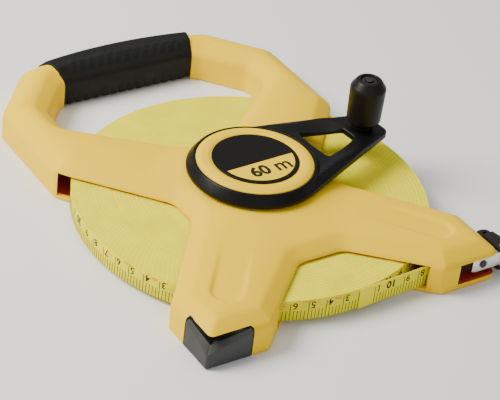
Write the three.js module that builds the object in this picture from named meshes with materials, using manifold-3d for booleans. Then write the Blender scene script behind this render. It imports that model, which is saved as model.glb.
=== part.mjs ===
// Surveyor's open tape reel: a long fibreglass tape wound on a spool, carried by a moulded frame
// with a hand grip, and wound in by a crank with a turning knob.
// Millimetres, +Z up. The origin is on the spool's axis, in the plane the frame lies on.
// +Y runs from the spool to the hand grip, and +X to the right of it, towards the tape mouth.
import * as THREE from "three";
import { mergeVertices } from "three/addons/utils/BufferGeometryUtils.js";
import Module from "manifold-3d";

// ---- driving dimensions -------------------------------------------------------------------
const TOUCH_GAP = 0.3; // left between two pieces that rest on each other
const RUN_GAP = 0.6; // left between a turning piece and a fixed one

// tape and the space it turns in
const TAPE_WIDTH = 12.7;
const TAPE_THICKNESS = 0.5;
const COIL_RADIUS = 100;
const CORE_RADIUS = 27.7;
const COIL_SIDE_GAP = 7.5; // from the full coil to the solid corners of the frame
const COIL_TOP_GAP = 1.3; // from the coil up to the edge of the front shell

// frame, seen from above
const HALF_WIDTH = 93;
const FOOT_REACH = 107; // from the axis down to the foot edge
const HANDLE_REACH = 170; // from the axis up to the top of the bowed grip
const BOW_END_X = 50;
const BOW_DROP = 6.5; // how far the bow falls between its middle and its ends
const SHOULDER_X = 64;
const SHOULDER_Y = 158;
const SIDE_TOP_Y = 123; // upper end of the straight side walls
const SIDE_LOW_Y = 57; // lower end of the upper side walls
const SIDE_NOTCH_X = 47; // how near the axis the side notches reach
const FOOT_SIDE_Y = -70; // upper end of the foot's side walls
const FRONT_NOTCH_Y = -70; // how near the axis the front notch reaches
const FRONT_NOTCH_FLAT = 14; // half the flat of the front notch
const FRONT_NOTCH_END = 55; // half the notch's width at the foot edge
const HAND_TOP_Y = 139; // the hand opening, under the grip
const HAND_TOP_X = 46;
const HAND_SIDE_X = 68.3;
const HAND_SIDE_TOP_Y = 112.5;
const HAND_SIDE_LOW_Y = 94;
const HAND_POINT_Y = 36; // where the arms' edges would meet

// frame, in height
const PLATE = 1.9; // back shell
const PLATE_CHAMFER = 0.9;
const WALL = 2.6; // front shell walls and roof
const FRAME_HEIGHT = 24.5;
const EDGE_WIDTH = 9; // rounded shoulder all round the top
const EDGE_HEIGHT = 7.2;
const HOLLOW_EDGE = 5; // the same shoulder inside the shell
const DOME_HEIGHT = 3.2; // the rise of the roof round the spool's axis
const DOME_RADIUS = 54;

const ARM_ANGLE = 39.5; // degrees between the lower arms and the line down the middle
const SCOOP_START = 52; // shallow scoops along the lower arms
const SCOOP_LENGTH = 62;
const SCOOP_HALF = 9;
const SCOOP_TILT = 1.2; // degrees

// hand grip
const GRIP_HALF = 48.5; // half its length, along the middle of the bar
const GRIP_MIDDLE_Y = 155;
const GRIP_END_SLOPE = 0.3;
const GRIP_THICKNESS = 1.8;
const GRIP_PROUD = 0.6;

// turning group
const SPINDLE_RADIUS = 7.5;
const SPINDLE_FLANGE = 2.2; // thickness of its foot
const CORE_WALL = 2.6; // rim of the hub that carries the tape
const HUB_WEB_TOP = 8.5; // web between that rim and the neck
const WASHER_RADIUS = 11; // keeps the hub on the spindle
const RETAINER_BORE = 2.3;
const NECK_RADIUS = 17;
const CRANK_RADIUS = 38;
const CRANK_RIM = 2.6;
const CRANK_PLATE = 4;
const CRANK_FLOOR = 2.3; // the disc under the cap
const CRANK_SOCKET = 9; // radius of the hollow in the crank's boss
const PIN_HEAD = 5;
const CRANK_RISE = 7; // from the crank's underside to the top of its disc
const CRANK_REACH = 79; // from the axis to the knob's pin
const CRANK_TIP_RADIUS = 13.5;
const CRANK_TIP_END = 11.5; // from the pin to the squared-off tip
const CRANK_LEG = 11.8;
const CRANK_ANGLE = 6; // degrees, towards +Y
const CAP_RADIUS = 33;
const LABEL_RADIUS = 24.4;
const KNOB_RADIUS = 10.5;
const KNOB_LENGTH = 31.8;
const PIN_RADIUS = 2.6;

// fasteners
const SCREW_RADIUS = 1.5;
const SCREW_HEAD = 3;
const SCREW_SLACK = 0.3;
const CRANK_SCREW_RADIUS = 1.3;
const CRANK_SCREW_CIRCLE = 14.3;
const RIVET_RADIUS = 1.2;
const RIVET_HEAD = 2.2;
const RIVET_HEAD_HEIGHT = 0.6;
const RIVET_ROOM = 2.3; // from the spindle out to the rivets that hold it to the back shell
const FLANGE_EDGE = 2.7; // from those rivets out to the rim of its foot
const CRANK_SCREW_DEPTH = 6; // how far they reach into the spool's neck
const BOSS_WALL = 2.2;

// tape mouth, in the right-hand foot
const MOUTH_DEPTH = 26; // how far the slot reaches into the foot
const MOUTH_WIDTH = 11;
const MOUTH_ROOF = 0.8; // from the slot up to the level of the windows
const CHANNEL_START = 36;
const LEAD_TURN = 3; // degrees between the straight stretch of tape and the foot edge
const LEAD_GAP = 10; // from its end to the guide pin
const SLIDE_INSET = 3.15; // from the foot edge in to the tape that slides out
const SLIDE_INSIDE = 43; // length of that tape inside the side wall
const GUIDE_PIN_GAP = 3; // from the slot in to the guide pin
const GUIDE_PIN_RADIUS = 1.8;
const STRAP_INSIDE = 16; // length of the strap inside the side wall
const STRAP_CUT = 2.4; // slant of its end
const STRAP_RIVET_INSET = 6.5;
const STRAP_LOW = 6.4;
const STRAP_THICKNESS = 0.8;
const HOOK_PIN_OUT = 4.2; // from the side wall out to the hook's pin
const HOOK_PIN_RADIUS = 1.3;
const HOOK_PIN_HEAD = 2.3;
const HOOK_LENGTH = 20.5;
const HOOK_ROUND = 3.2; // from the pin to the hook's end and outer side
const HOOK_BACK = 3.6; // from the pin to its outer face farther along
const LUG = 1.9; // thickness of each of its two lugs
const TONGUE = 6.5; // length of its thin free end
const NAIL_EYE = 1.5;
const CLAW_START = 8.8;
const CLAW_LENGTH = 5;
const CLAW_LOW = 7.1;
const CLAW_HIGH = 14.5;

const CIRCLE = 48; // sides of a large circle
const SMALL_CIRCLE = 16;

// ---- values worked out from them ----------------------------------------------------------
const coilLow = PLATE + RUN_GAP + 0.1;
const coilHigh = coilLow + TAPE_WIDTH;
const windowHigh = coilHigh + COIL_TOP_GAP;
const slotRadius = COIL_RADIUS + COIL_SIDE_GAP;
const shellLow = PLATE + TOUCH_GAP;
const roofLow = FRAME_HEIGHT - WALL;
const domeTop = FRAME_HEIGHT + DOME_HEIGHT;
const crankLow = domeTop + RUN_GAP + 0.7;
const crankArmTop = crankLow + CRANK_PLATE;
const crankTop = crankLow + CRANK_RISE;
const openingRadius = NECK_RADIUS + 1.5;
const neckTop = coilHigh + 6.4;
const crankScrewLow = neckTop - CRANK_SCREW_DEPTH;
const leadRadius = COIL_RADIUS + TOUCH_GAP + 0.1; // the straight stretch touches this circle
const mouthX = HALF_WIDTH - MOUTH_DEPTH;
const mouthHigh = windowHigh - MOUTH_ROOF;
const slideY = -FOOT_REACH + SLIDE_INSET;
const guidePinX = mouthX - GUIDE_PIN_GAP;
const strapStart = HALF_WIDTH - STRAP_INSIDE;
const strapHigh = mouthHigh - RUN_GAP;
const hookPinX = HALF_WIDTH + HOOK_PIN_OUT;
const rivetCircle = SPINDLE_RADIUS + RIVET_ROOM;
const below = 30; // how far cutting shapes run past what they cut
const above = 80; // a height over everything, for cuts that run right through

// ---- materials ----------------------------------------------------------------------------
const plastic = (color, roughness) => new THREE.MeshStandardMaterial({ color, roughness, metalness: 0 });
const metal = (color, roughness) => new THREE.MeshStandardMaterial({ color, roughness, metalness: 1 });
const frameYellow = () => plastic(0xf5c92e, 0.42);
const tapeYellow = () => plastic(0xf2e13f, 0.6);
const gripBlack = () => plastic(0x1b1c1e, 0.75);
const crankBlack = () => plastic(0x17181b, 0.4);
const footRubber = () => plastic(0x35373a, 0.7);
const steel = () => metal(0xb9bcc0, 0.3);

// ---- solids -------------------------------------------------------------------------------
const wasm = await Module();
wasm.setup();
const { Manifold, Mesh } = wasm;

const reel = new THREE.Group();

function toSolid(geometry) {
  const bare = geometry.clone();
  bare.deleteAttribute("normal");
  bare.deleteAttribute("uv");
  const merged = mergeVertices(bare, 1e-4);
  return new Manifold(
    new Mesh({
      numProp: 3,
      vertProperties: new Float32Array(merged.attributes.position.array),
      triVerts: new Uint32Array(merged.index.array),
    }),
  );
}

function toGeometry(solid) {
  const mesh = solid.getMesh();
  const geometry = new THREE.BufferGeometry();
  geometry.setAttribute("position", new THREE.BufferAttribute(mesh.vertProperties, 3));
  geometry.setIndex(new THREE.BufferAttribute(mesh.triVerts, 1));
  return geometry;
}

// adds a named piece; a group can be given to carry it
function piece(name, solid, material, parent = reel) {
  const mesh = new THREE.Mesh(toGeometry(solid), material);
  mesh.name = name;
  parent.add(mesh);
  return mesh;
}

function block(x0, x1, y0, y1, z0, z1) {
  const geometry = new THREE.BoxGeometry(x1 - x0, y1 - y0, z1 - z0);
  geometry.translate((x0 + x1) / 2, (y0 + y1) / 2, (z0 + z1) / 2);
  return toSolid(geometry);
}

function rod(radius, z0, z1, x = 0, y = 0, sides = SMALL_CIRCLE) {
  const geometry = new THREE.CylinderGeometry(radius, radius, z1 - z0, sides);
  geometry.rotateX(Math.PI / 2);
  geometry.translate(x, y, (z0 + z1) / 2);
  return toSolid(geometry);
}

// a profile of [radius, height] points, listed anticlockwise, turned about the Z axis
function turned(profile, sides = CIRCLE, x = 0, y = 0) {
  const points = profile.map(([radius, height]) => new THREE.Vector2(radius, height));
  points.push(points[0].clone());
  const geometry = new THREE.LatheGeometry(points, sides);
  geometry.rotateX(Math.PI / 2);
  geometry.translate(x, y, 0);
  const solid = toSolid(geometry);
  return solid.volume() > 0 ? solid : toSolid(flipped(geometry));
}

function flipped(geometry) {
  const turnedOver = geometry.clone();
  const index = turnedOver.index.array;
  for (let corner = 0; corner < index.length; corner += 3) {
    [index[corner], index[corner + 1]] = [index[corner + 1], index[corner]];
  }
  return turnedOver;
}

// a closed path through [x, y, radius] corners, each corner rounded by its radius
function path(corners, Kind = THREE.Shape) {
  const line = new Kind();
  corners.forEach(([x, y, radius = 0], index) => {
    const corner = new THREE.Vector2(x, y);
    if (radius === 0) {
      line[index ? "lineTo" : "moveTo"](x, y);
      return;
    }
    const last = corners[(index + corners.length - 1) % corners.length];
    const next = corners[(index + 1) % corners.length];
    const toLast = new THREE.Vector2(last[0] - x, last[1] - y).normalize();
    const toNext = new THREE.Vector2(next[0] - x, next[1] - y).normalize();
    const halfAngle = Math.acos(THREE.MathUtils.clamp(toLast.dot(toNext), -1, 1)) / 2;
    const reach = radius / Math.tan(halfAngle);
    const start = corner.clone().addScaledVector(toLast, reach);
    const end = corner.clone().addScaledVector(toNext, reach);
    line[index ? "lineTo" : "moveTo"](start.x, start.y);
    line.quadraticCurveTo(x, y, end.x, end.y);
  });
  line.closePath();
  return line;
}

function prism(corners, z0, z1, curveSegments = 4) {
  const geometry = new THREE.ExtrudeGeometry(path(corners), {
    depth: z1 - z0,
    bevelEnabled: false,
    curveSegments,
  });
  geometry.translate(0, 0, z0);
  return toSolid(geometry);
}

// right-hand corners, then the same ones on the left
const bothSides = (corners) => [...corners, ...corners.map(([x, y, radius]) => [-x, y, radius]).reverse()];

// ---- frame outline ------------------------------------------------------------------------
const bowCorners = [0.1, 0.4, 0.7, 1].map((share) => [
  BOW_END_X * share,
  HANDLE_REACH - BOW_DROP * share * share,
  0,
]);
const outerCorners = bothSides([
  ...bowCorners,
  [SHOULDER_X, SHOULDER_Y, 0],
  [HALF_WIDTH, SIDE_TOP_Y, 0],
  [HALF_WIDTH, SIDE_LOW_Y, 0],
  [HALF_WIDTH - 5, SIDE_LOW_Y - 7, 0],
  [SIDE_NOTCH_X + 1, 4, 11],
  [SIDE_NOTCH_X, -13.8, 11],
  [HALF_WIDTH, FOOT_SIDE_Y, 0],
  [HALF_WIDTH, -FOOT_REACH, 0],
  [FRONT_NOTCH_END, -FOOT_REACH, 0],
  [FRONT_NOTCH_FLAT, FRONT_NOTCH_Y, 8],
]);
const handCorners = [
  [0, HAND_POINT_Y, 16],
  ...[
    [HAND_SIDE_X, HAND_SIDE_LOW_Y, 8],
    [HAND_SIDE_X, HAND_SIDE_TOP_Y, 8],
    [HAND_TOP_X, HAND_TOP_Y, 10],
  ],
  ...[
    [-HAND_TOP_X, HAND_TOP_Y, 10],
    [-HAND_SIDE_X, HAND_SIDE_TOP_Y, 8],
    [-HAND_SIDE_X, HAND_SIDE_LOW_Y, 8],
  ],
];

// the frame's outer form, drawn in by inset, from height z0 to z1, with a rounded top edge
function frameForm(inset, z0, z1, edge = EDGE_WIDTH, steps = 3) {
  const shape = path(outerCorners);
  shape.holes.push(path(handCorners, THREE.Path));
  const geometry = new THREE.ExtrudeGeometry(shape, {
    depth: z1 - EDGE_HEIGHT - (z0 - below),
    bevelEnabled: true,
    bevelThickness: EDGE_HEIGHT,
    bevelSize: edge,
    bevelOffset: -edge - inset,
    bevelSegments: steps,
    curveSegments: 4,
  });
  geometry.translate(0, 0, z0 - below);
  return toSolid(geometry).subtract(block(-200, 200, -200, 250, z0 - 3 * below, z0));
}

// a flat slab of the frame's outline, drawn in by inset
function frameSlab(inset, z0, z1) {
  const shape = path(outerCorners);
  shape.holes.push(path(handCorners, THREE.Path));
  const geometry = new THREE.ExtrudeGeometry(shape, {
    depth: z1 - z0 - PLATE_CHAMFER,
    bevelEnabled: true,
    bevelThickness: PLATE_CHAMFER,
    bevelSize: PLATE_CHAMFER,
    bevelOffset: -PLATE_CHAMFER - inset,
    bevelSegments: 1,
    curveSegments: 4,
  });
  geometry.translate(0, 0, z0 + PLATE_CHAMFER);
  return toSolid(geometry).subtract(block(-200, 200, -200, 250, z1, z1 + below));
}

// the stretch of the handle bar that the grip covers; its ends lie square to the bowed bar
function gripZone(slack, low) {
  const innerY = HAND_TOP_Y - 14;
  const outerY = HANDLE_REACH + 20;
  const endX = (y) => GRIP_HALF + slack + (y - GRIP_MIDDLE_Y) * GRIP_END_SLOPE;
  const corners = [
    [-endX(innerY), innerY],
    [endX(innerY), innerY],
    [endX(outerY), outerY],
    [-endX(outerY), outerY],
  ];
  return prism(corners, low, FRAME_HEIGHT + 20);
}

// screws that hold the two shells together, at solid places outside the coil
const screwPlaces = [
  [HALF_WIDTH - 11, 100],
  [-(HALF_WIDTH - 11), 100],
  [SHOULDER_X + 2, 139],
  [-(SHOULDER_X + 2), 139],
  [HALF_WIDTH - 12, -84],
  [-(HALF_WIDTH - 12), -84],
];
const bossRadius = SCREW_RADIUS + SCREW_SLACK + BOSS_WALL;
const cupRadius = SCREW_HEAD + SCREW_SLACK + 1.6;
const cupTop = shellLow + 2.9;

// the corner of the left foot that the rubber bumper takes up
const bumperSide = 22;
const bumperFoot = 27;
const bumperSlope = 19; // degrees that its top falls towards the corner
function bumperForm(grow, z0, z1) {
  return prism(
    [
      [-HALF_WIDTH - below, -FOOT_REACH + bumperSide + grow],
      [-HALF_WIDTH - below, -FOOT_REACH - below],
      [-HALF_WIDTH + bumperFoot + grow, -FOOT_REACH - below],
      [-HALF_WIDTH + bumperFoot + grow, -FOOT_REACH + 1],
      [-HALF_WIDTH + 1, -FOOT_REACH + bumperSide + grow],
    ],
    z0,
    z1,
  );
}

// ---- front shell --------------------------------------------------------------------------
const coreInset = GRIP_THICKNESS - GRIP_PROUD + TOUCH_GAP;

function frontShell() {
  let shell = frameForm(0, shellLow, FRAME_HEIGHT);
  const hollow = frameForm(WALL, shellLow - 1, roofLow, HOLLOW_EDGE, 2);
  shell = shell.subtract(hollow);
  // the bar inside the grip is a closed channel, set in by the grip's thickness
  shell = shell.subtract(gripZone(TOUCH_GAP, -below));
  const bar = frameForm(coreInset, shellLow, FRAME_HEIGHT - coreInset)
    .subtract(frameForm(coreInset + WALL, shellLow - 1, FRAME_HEIGHT - coreInset - WALL, HOLLOW_EDGE, 2))
    .intersect(gripZone(TOUCH_GAP + 1.5, -below));
  shell = shell.add(bar);
  // dome round the axis, the opening for the neck, and its collar
  const dome = turned([
    [openingRadius, roofLow - 3],
    [openingRadius + WALL, roofLow - 3],
    [openingRadius + WALL, roofLow],
    [DOME_RADIUS, FRAME_HEIGHT - 0.4],
    [CRANK_RADIUS - 4, domeTop - 0.6],
    [CRANK_RADIUS - 12, domeTop],
    [openingRadius, domeTop],
  ]);
  shell = shell.add(dome.intersect(frameForm(0, 0, domeTop)));
  shell = shell.subtract(rod(openingRadius, 0, FRAME_HEIGHT + below, 0, 0, CIRCLE));
  // the space the coil turns in opens the windows between the arms
  shell = shell.subtract(rod(slotRadius, 0, windowHigh, 0, 0, 2 * CIRCLE));
  // bosses for the case screws
  for (const [x, y] of screwPlaces) {
    shell = shell.subtract(rod(cupRadius + TOUCH_GAP, 0, cupTop + TOUCH_GAP, x, y));
    shell = shell.add(rod(bossRadius, cupTop + TOUCH_GAP, roofLow + 1, x, y));
    shell = shell.subtract(rod(SCREW_RADIUS + SCREW_SLACK, 0, roofLow - 3, x, y));
  }
  // channel that leads the tape into the arm, and the tape mouth
  const channelOuter = slideY - RUN_GAP - 0.1;
  const channelInner = -slotRadius + MOUTH_WIDTH;
  shell = shell.subtract(block(CHANNEL_START, mouthX + 2, channelOuter, channelInner, 0, windowHigh));
  const mouthOuter = -FOOT_REACH - below;
  const mouthInner = -FOOT_REACH + MOUTH_WIDTH;
  shell = shell.subtract(block(mouthX, HALF_WIDTH + below, mouthOuter, mouthInner, 0, mouthHigh));
  // corner pocket for the bumper
  shell = shell.add(bumperForm(0, shellLow, windowHigh + 3).intersect(frameForm(0, shellLow, FRAME_HEIGHT)));
  shell = shell.subtract(bumperForm(TOUCH_GAP, 0, windowHigh + TOUCH_GAP));
  // shallow scoops along the two lower arms
  for (const side of [-1, 1]) {
    const scoop = prism(
      [
        [-SCOOP_HALF, 0, SCOOP_HALF],
        [-SCOOP_HALF, SCOOP_LENGTH, SCOOP_HALF],
        [SCOOP_HALF, SCOOP_LENGTH, SCOOP_HALF],
        [SCOOP_HALF, 0, SCOOP_HALF],
      ],
      0,
      20,
    )
      .rotate([-SCOOP_TILT, 0, 0])
      .translate([0, SCOOP_START, FRAME_HEIGHT])
      .rotate([0, 0, 180 + side * ARM_ANGLE]);
    shell = shell.subtract(scoop);
  }
  return shell;
}
piece("front_shell", frontShell(), frameYellow());

// ---- back shell ---------------------------------------------------------------------------
const around = (count, radius, first) =>
  Array.from({ length: count }, (_, index) => {
    const turn = THREE.MathUtils.degToRad(first + (360 * index) / count);
    return [radius * Math.cos(turn), radius * Math.sin(turn)];
  });
const spindleRivets = around(3, rivetCircle, 90);
function backShell() {
  let shell = frameSlab(0, 0, PLATE);
  shell = shell.subtract(gripZone(TOUCH_GAP, -below));
  // cups round the screw heads
  for (const [x, y] of screwPlaces) {
    shell = shell.add(rod(cupRadius, 0.6, cupTop, x, y));
    shell = shell.subtract(rod(SCREW_HEAD + SCREW_SLACK, -1, PLATE + 0.9, x, y));
    shell = shell.subtract(rod(SCREW_RADIUS + SCREW_SLACK, 0, below, x, y));
  }
  shell = shell.subtract(bumperForm(TOUCH_GAP, -1, PLATE + 1));
  for (const [x, y] of spindleRivets) {
    shell = shell.subtract(rod(RIVET_HEAD + TOUCH_GAP, -1, 1.1, x, y, 12));
    shell = shell.subtract(rod(RIVET_RADIUS + TOUCH_GAP, 0, below, x, y, 12));
  }
  return shell;
}
piece("back_shell", backShell(), frameYellow());

screwPlaces.forEach(([x, y], index) => {
  const head = rod(SCREW_HEAD, 0.5, PLATE + 0.6, x, y);
  const shank = rod(SCREW_RADIUS, PLATE + 0.5, roofLow - 6, x, y, 12);
  const slot = block(x - SCREW_HEAD, x + SCREW_HEAD, y - 0.4, y + 0.4, 0, 1.1);
  piece("case_screw_" + (index + 1), head.add(shank).subtract(slot), steel());
});

// ---- hand grip ----------------------------------------------------------------------------
function grip() {
  const outer = frameForm(-GRIP_PROUD, 0, FRAME_HEIGHT + GRIP_PROUD);
  const inner = frameForm(coreInset - TOUCH_GAP, shellLow - TOUCH_GAP, FRAME_HEIGHT - coreInset + TOUCH_GAP);
  return outer.subtract(inner).intersect(gripZone(0, -below));
}
piece("hand_grip", grip(), gripBlack());

// ---- bumper -------------------------------------------------------------------------------
function bumper() {
  const outer = frameForm(-0.5, 0, FRAME_HEIGHT + 0.5);
  const form = bumperForm(0, 0, windowHigh).intersect(outer);
  // the top falls away to the corner on both sides, as a shallow V
  const fall = block(-above, above, 0, above, 0, above)
    .rotate([bumperSlope, 0, 0])
    .translate([0, 7, windowHigh - 6.5])
    .rotate([0, 0, 129]);
  return form.subtract(
    fall.translate([-HALF_WIDTH + 8, -FOOT_REACH + 6, 0]),
  );
}
piece("corner_bumper", bumper(), footRubber());

// ---- spindle and what holds it ------------------------------------------------------------
const spindleTop = neckTop - 2;
const flangeTop = shellLow + SPINDLE_FLANGE;
const flangeRadius = rivetCircle + FLANGE_EDGE;
const boreLow = 14.5;
const hubFloor = flangeTop + TOUCH_GAP + RIVET_HEAD_HEIGHT + RUN_GAP;
function spindle() {
  let axle = turned(
    [
      [0, shellLow],
      [flangeRadius, shellLow],
      [flangeRadius, flangeTop],
      [SPINDLE_RADIUS, flangeTop],
      [SPINDLE_RADIUS, spindleTop],
      [RETAINER_BORE, spindleTop],
      [RETAINER_BORE, boreLow],
      [0, boreLow],
    ],
    24,
  );
  for (const [x, y] of spindleRivets) {
    axle = axle.subtract(rod(RIVET_RADIUS + TOUCH_GAP, 0, flangeTop + 1, x, y, 12));
  }
  return axle;
}
piece("spindle", spindle(), steel());
spindleRivets.forEach(([x, y], index) => {
  const upperHead = flangeTop + TOUCH_GAP;
  const rivet = rod(RIVET_HEAD, 0.2, 0.2 + RIVET_HEAD_HEIGHT, x, y, 12)
    .add(rod(RIVET_RADIUS, 0.3, upperHead + 0.1, x, y, 12))
    .add(rod(RIVET_HEAD - 0.2, upperHead, upperHead + RIVET_HEAD_HEIGHT, x, y, 12));
  piece("spindle_rivet_" + (index + 1), rivet, steel());
});
const washerLow = spindleTop + TOUCH_GAP;
const washer = rod(WASHER_RADIUS, washerLow, washerLow + 0.9, 0, 0, 24);
piece("retainer_washer", washer.subtract(rod(RETAINER_BORE + 0.1, 0, above)), steel());
piece(
  "retainer_screw",
  rod(4, spindleTop + 1.5, spindleTop + 3.7)
    .add(rod(RETAINER_BORE - TOUCH_GAP, boreLow + 0.5, spindleTop + 1.6))
    .subtract(block(-5, 5, -0.5, 0.5, spindleTop + 2.9, above)),
  steel(),
);

// ---- turning group ------------------------------------------------------------------------
piece(
  "tape_coil",
  turned(
    [
      [CORE_RADIUS + TOUCH_GAP, coilLow],
      [COIL_RADIUS, coilLow],
      [COIL_RADIUS, coilHigh],
      [CORE_RADIUS + TOUCH_GAP, coilHigh],
    ],
    2 * CIRCLE,
  ),
  tapeYellow(),
);

// the crank, drawn with its arm along +X and then turned to its rest angle
const legSlope = Math.asin((CRANK_RADIUS - CRANK_TIP_RADIUS) / CRANK_REACH);
const legMeet = CRANK_RADIUS / Math.sin(legSlope);
const legHalfWidth = (x, inset) => (legMeet - x) * Math.tan(legSlope) - inset / Math.cos(legSlope);
const tipEnd = CRANK_REACH + CRANK_TIP_END;
const tangentX = CRANK_RADIUS * Math.sin(legSlope);
const tangentY = CRANK_RADIUS * Math.cos(legSlope);
const crankScrews = around(3, CRANK_SCREW_CIRCLE, 30);

function crank() {
  const disc = turned([
    [CRANK_SOCKET, neckTop + TOUCH_GAP],
    [NECK_RADIUS, neckTop + TOUCH_GAP],
    [NECK_RADIUS, crankLow],
    [CRANK_RADIUS, crankLow],
    [CRANK_RADIUS, crankLow + CRANK_RIM],
    [CAP_RADIUS + 0.9, crankTop],
    [CAP_RADIUS + TOUCH_GAP, crankTop],
    [CAP_RADIUS + TOUCH_GAP, crankLow + CRANK_FLOOR],
    [0, crankLow + CRANK_FLOOR],
    [0, neckTop + 4.3],
    [CRANK_SOCKET, neckTop + 4.3],
  ]);
  const arm = prism(
    [
      [tangentX, tangentY],
      [0, 0],
      [tangentX, -tangentY],
      [tipEnd, -legHalfWidth(tipEnd, 0), 4],
      [tipEnd, legHalfWidth(tipEnd, 0), 4],
    ],
    crankLow,
    crankArmTop,
  ).subtract(rod(CRANK_RADIUS - 2, 0, above, 0, 0, CIRCLE));
  const windowEnd = CRANK_REACH - 10;
  const windowStart = CRANK_RADIUS + 3;
  const window = prism(
    [
      [windowEnd, legHalfWidth(windowEnd, CRANK_LEG), 1.2],
      [windowStart + 1, legHalfWidth(windowStart + 1, CRANK_LEG), 1.5],
      [windowStart - 0.5, 0, 20],
      [windowStart + 1, -legHalfWidth(windowStart + 1, CRANK_LEG), 1.5],
      [windowEnd, -legHalfWidth(windowEnd, CRANK_LEG), 1.2],
    ],
    0,
    above,
  );
  let whole = disc.add(arm).subtract(window);
  whole = whole.subtract(rod(PIN_RADIUS + TOUCH_GAP, 0, above, CRANK_REACH));
  whole = whole.subtract(rod(PIN_HEAD + TOUCH_GAP, 0, crankLow + 1.4, CRANK_REACH));
  for (const [x, y] of crankScrews) {
    whole = whole.subtract(rod(CRANK_SCREW_RADIUS + SCREW_SLACK, 0, above, x, y, 12));
  }
  return whole;
}
const crankGroup = new THREE.Group();
crankGroup.rotation.z = THREE.MathUtils.degToRad(CRANK_ANGLE);
reel.add(crankGroup);
piece("crank", crank(), crankBlack(), crankGroup);

function spoolHub() {
  let hub = turned([
    [SPINDLE_RADIUS + RUN_GAP, hubFloor],
    [flangeRadius + RUN_GAP, hubFloor],
    [flangeRadius + RUN_GAP, coilLow],
    [CORE_RADIUS, coilLow],
    [CORE_RADIUS, coilHigh],
    [CORE_RADIUS - CORE_WALL, coilHigh],
    [CORE_RADIUS - CORE_WALL, HUB_WEB_TOP],
    [NECK_RADIUS, HUB_WEB_TOP],
    [NECK_RADIUS, neckTop],
    [WASHER_RADIUS + RUN_GAP, neckTop],
    [WASHER_RADIUS + RUN_GAP, spindleTop],
    [SPINDLE_RADIUS + RUN_GAP, spindleTop],
  ]);
  for (const [x, y] of crankScrews) {
    hub = hub.subtract(rod(CRANK_SCREW_RADIUS + SCREW_SLACK, crankScrewLow - 1, above, x, y, 12));
  }
  return hub;
}
piece("spool_hub", spoolHub(), plastic(0xe9e4d6, 0.5), crankGroup);

crankScrews.forEach(([x, y], index) => {
  const seat = crankLow + CRANK_FLOOR + TOUCH_GAP;
  const screw = rod(2.5, seat, seat + 1.6, x, y)
    .add(rod(CRANK_SCREW_RADIUS, crankScrewLow, seat + 0.1, x, y, 12))
    .subtract(block(x - 3, x + 3, y - 0.35, y + 0.35, seat + 0.9, above));
  piece("crank_screw_" + (index + 1), screw, steel(), crankGroup);
});

const capTop = crankTop + 0.7;
piece(
  "hub_cap",
  turned([
    [0, capTop - 2.2],
    [CAP_RADIUS - 3, capTop - 2.2],
    [CAP_RADIUS - 3, crankLow + CRANK_FLOOR + TOUCH_GAP],
    [CAP_RADIUS, crankLow + CRANK_FLOOR + TOUCH_GAP],
    [CAP_RADIUS, capTop - 0.8],
    [CAP_RADIUS - 0.8, capTop],
    [0, capTop],
  ]),
  frameYellow(),
);
piece(
  "hub_label",
  turned([
    [0, capTop + TOUCH_GAP],
    [LABEL_RADIUS, capTop + TOUCH_GAP],
    [LABEL_RADIUS, capTop + 0.8],
    [LABEL_RADIUS - 0.3, capTop + 1],
    [0, capTop + 1],
  ]),
  plastic(0x15161a, 0.5),
);

// the knob turns on a pin riveted through the crank's tip
const knobLow = crankArmTop + RUN_GAP;
const knobTop = knobLow + KNOB_LENGTH;
piece(
  "knob_pin",
  turned(
    [
      [0, crankLow + 0.3],
      [PIN_HEAD, crankLow + 0.3],
      [PIN_HEAD, crankLow + 1.1],
      [PIN_RADIUS, crankLow + 1.1],
      [PIN_RADIUS, knobTop - 0.4],
      [PIN_RADIUS - 1, knobTop],
      [0, knobTop],
    ],
    SMALL_CIRCLE,
    CRANK_REACH,
  ),
  steel(),
  crankGroup,
);
piece(
  "knob",
  turned(
    [
      [PIN_RADIUS + 0.4, knobLow],
      [6.5, knobLow],
      [6.5, knobLow + 2.6],
      [KNOB_RADIUS - 0.6, knobLow + 6.4],
      [KNOB_RADIUS, knobLow + 16],
      [KNOB_RADIUS, knobTop - 6],
      [KNOB_RADIUS - 1.2, knobTop - 2.6],
      [KNOB_RADIUS - 3.6, knobTop - 0.5],
      [5.3, knobTop],
      [4.6, knobTop],
      [4.6, knobTop - 2],
      [PIN_RADIUS + 0.4, knobTop - 2],
    ],
    24,
    CRANK_REACH,
  ),
  crankBlack(),
  crankGroup,
);
const knobWasher = rod(4.3, knobTop - 1.7, knobTop - 1.1, CRANK_REACH);
const washerBore = rod(PIN_RADIUS + TOUCH_GAP, 0, above, CRANK_REACH);
piece("knob_retainer", knobWasher.subtract(washerBore), steel(), crankGroup);

// ---- tape that leaves the coil ------------------------------------------------------------
// it leaves the coil as a tangent and runs to the mouth; outside it lies the stretch that pulls out
const lead = block(0, guidePinX - LEAD_GAP, -leadRadius - TAPE_THICKNESS, -leadRadius, coilLow, coilHigh);
piece("tape_lead", lead.rotate([0, 0, LEAD_TURN]), tapeYellow());

// metal strap folded over the end of the tape and round the hook's pin
const strapOuterY = slideY - TOUCH_GAP - STRAP_THICKNESS;
const strapInnerY = slideY + TAPE_THICKNESS + TOUCH_GAP;
const pinY = slideY + TAPE_THICKNESS / 2;
const eyeRadius = HOOK_PIN_RADIUS + TOUCH_GAP + STRAP_THICKNESS + 0.2;
const rivetX = strapStart + STRAP_RIVET_INSET;
const strapMiddle = (STRAP_LOW + strapHigh) / 2;
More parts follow.
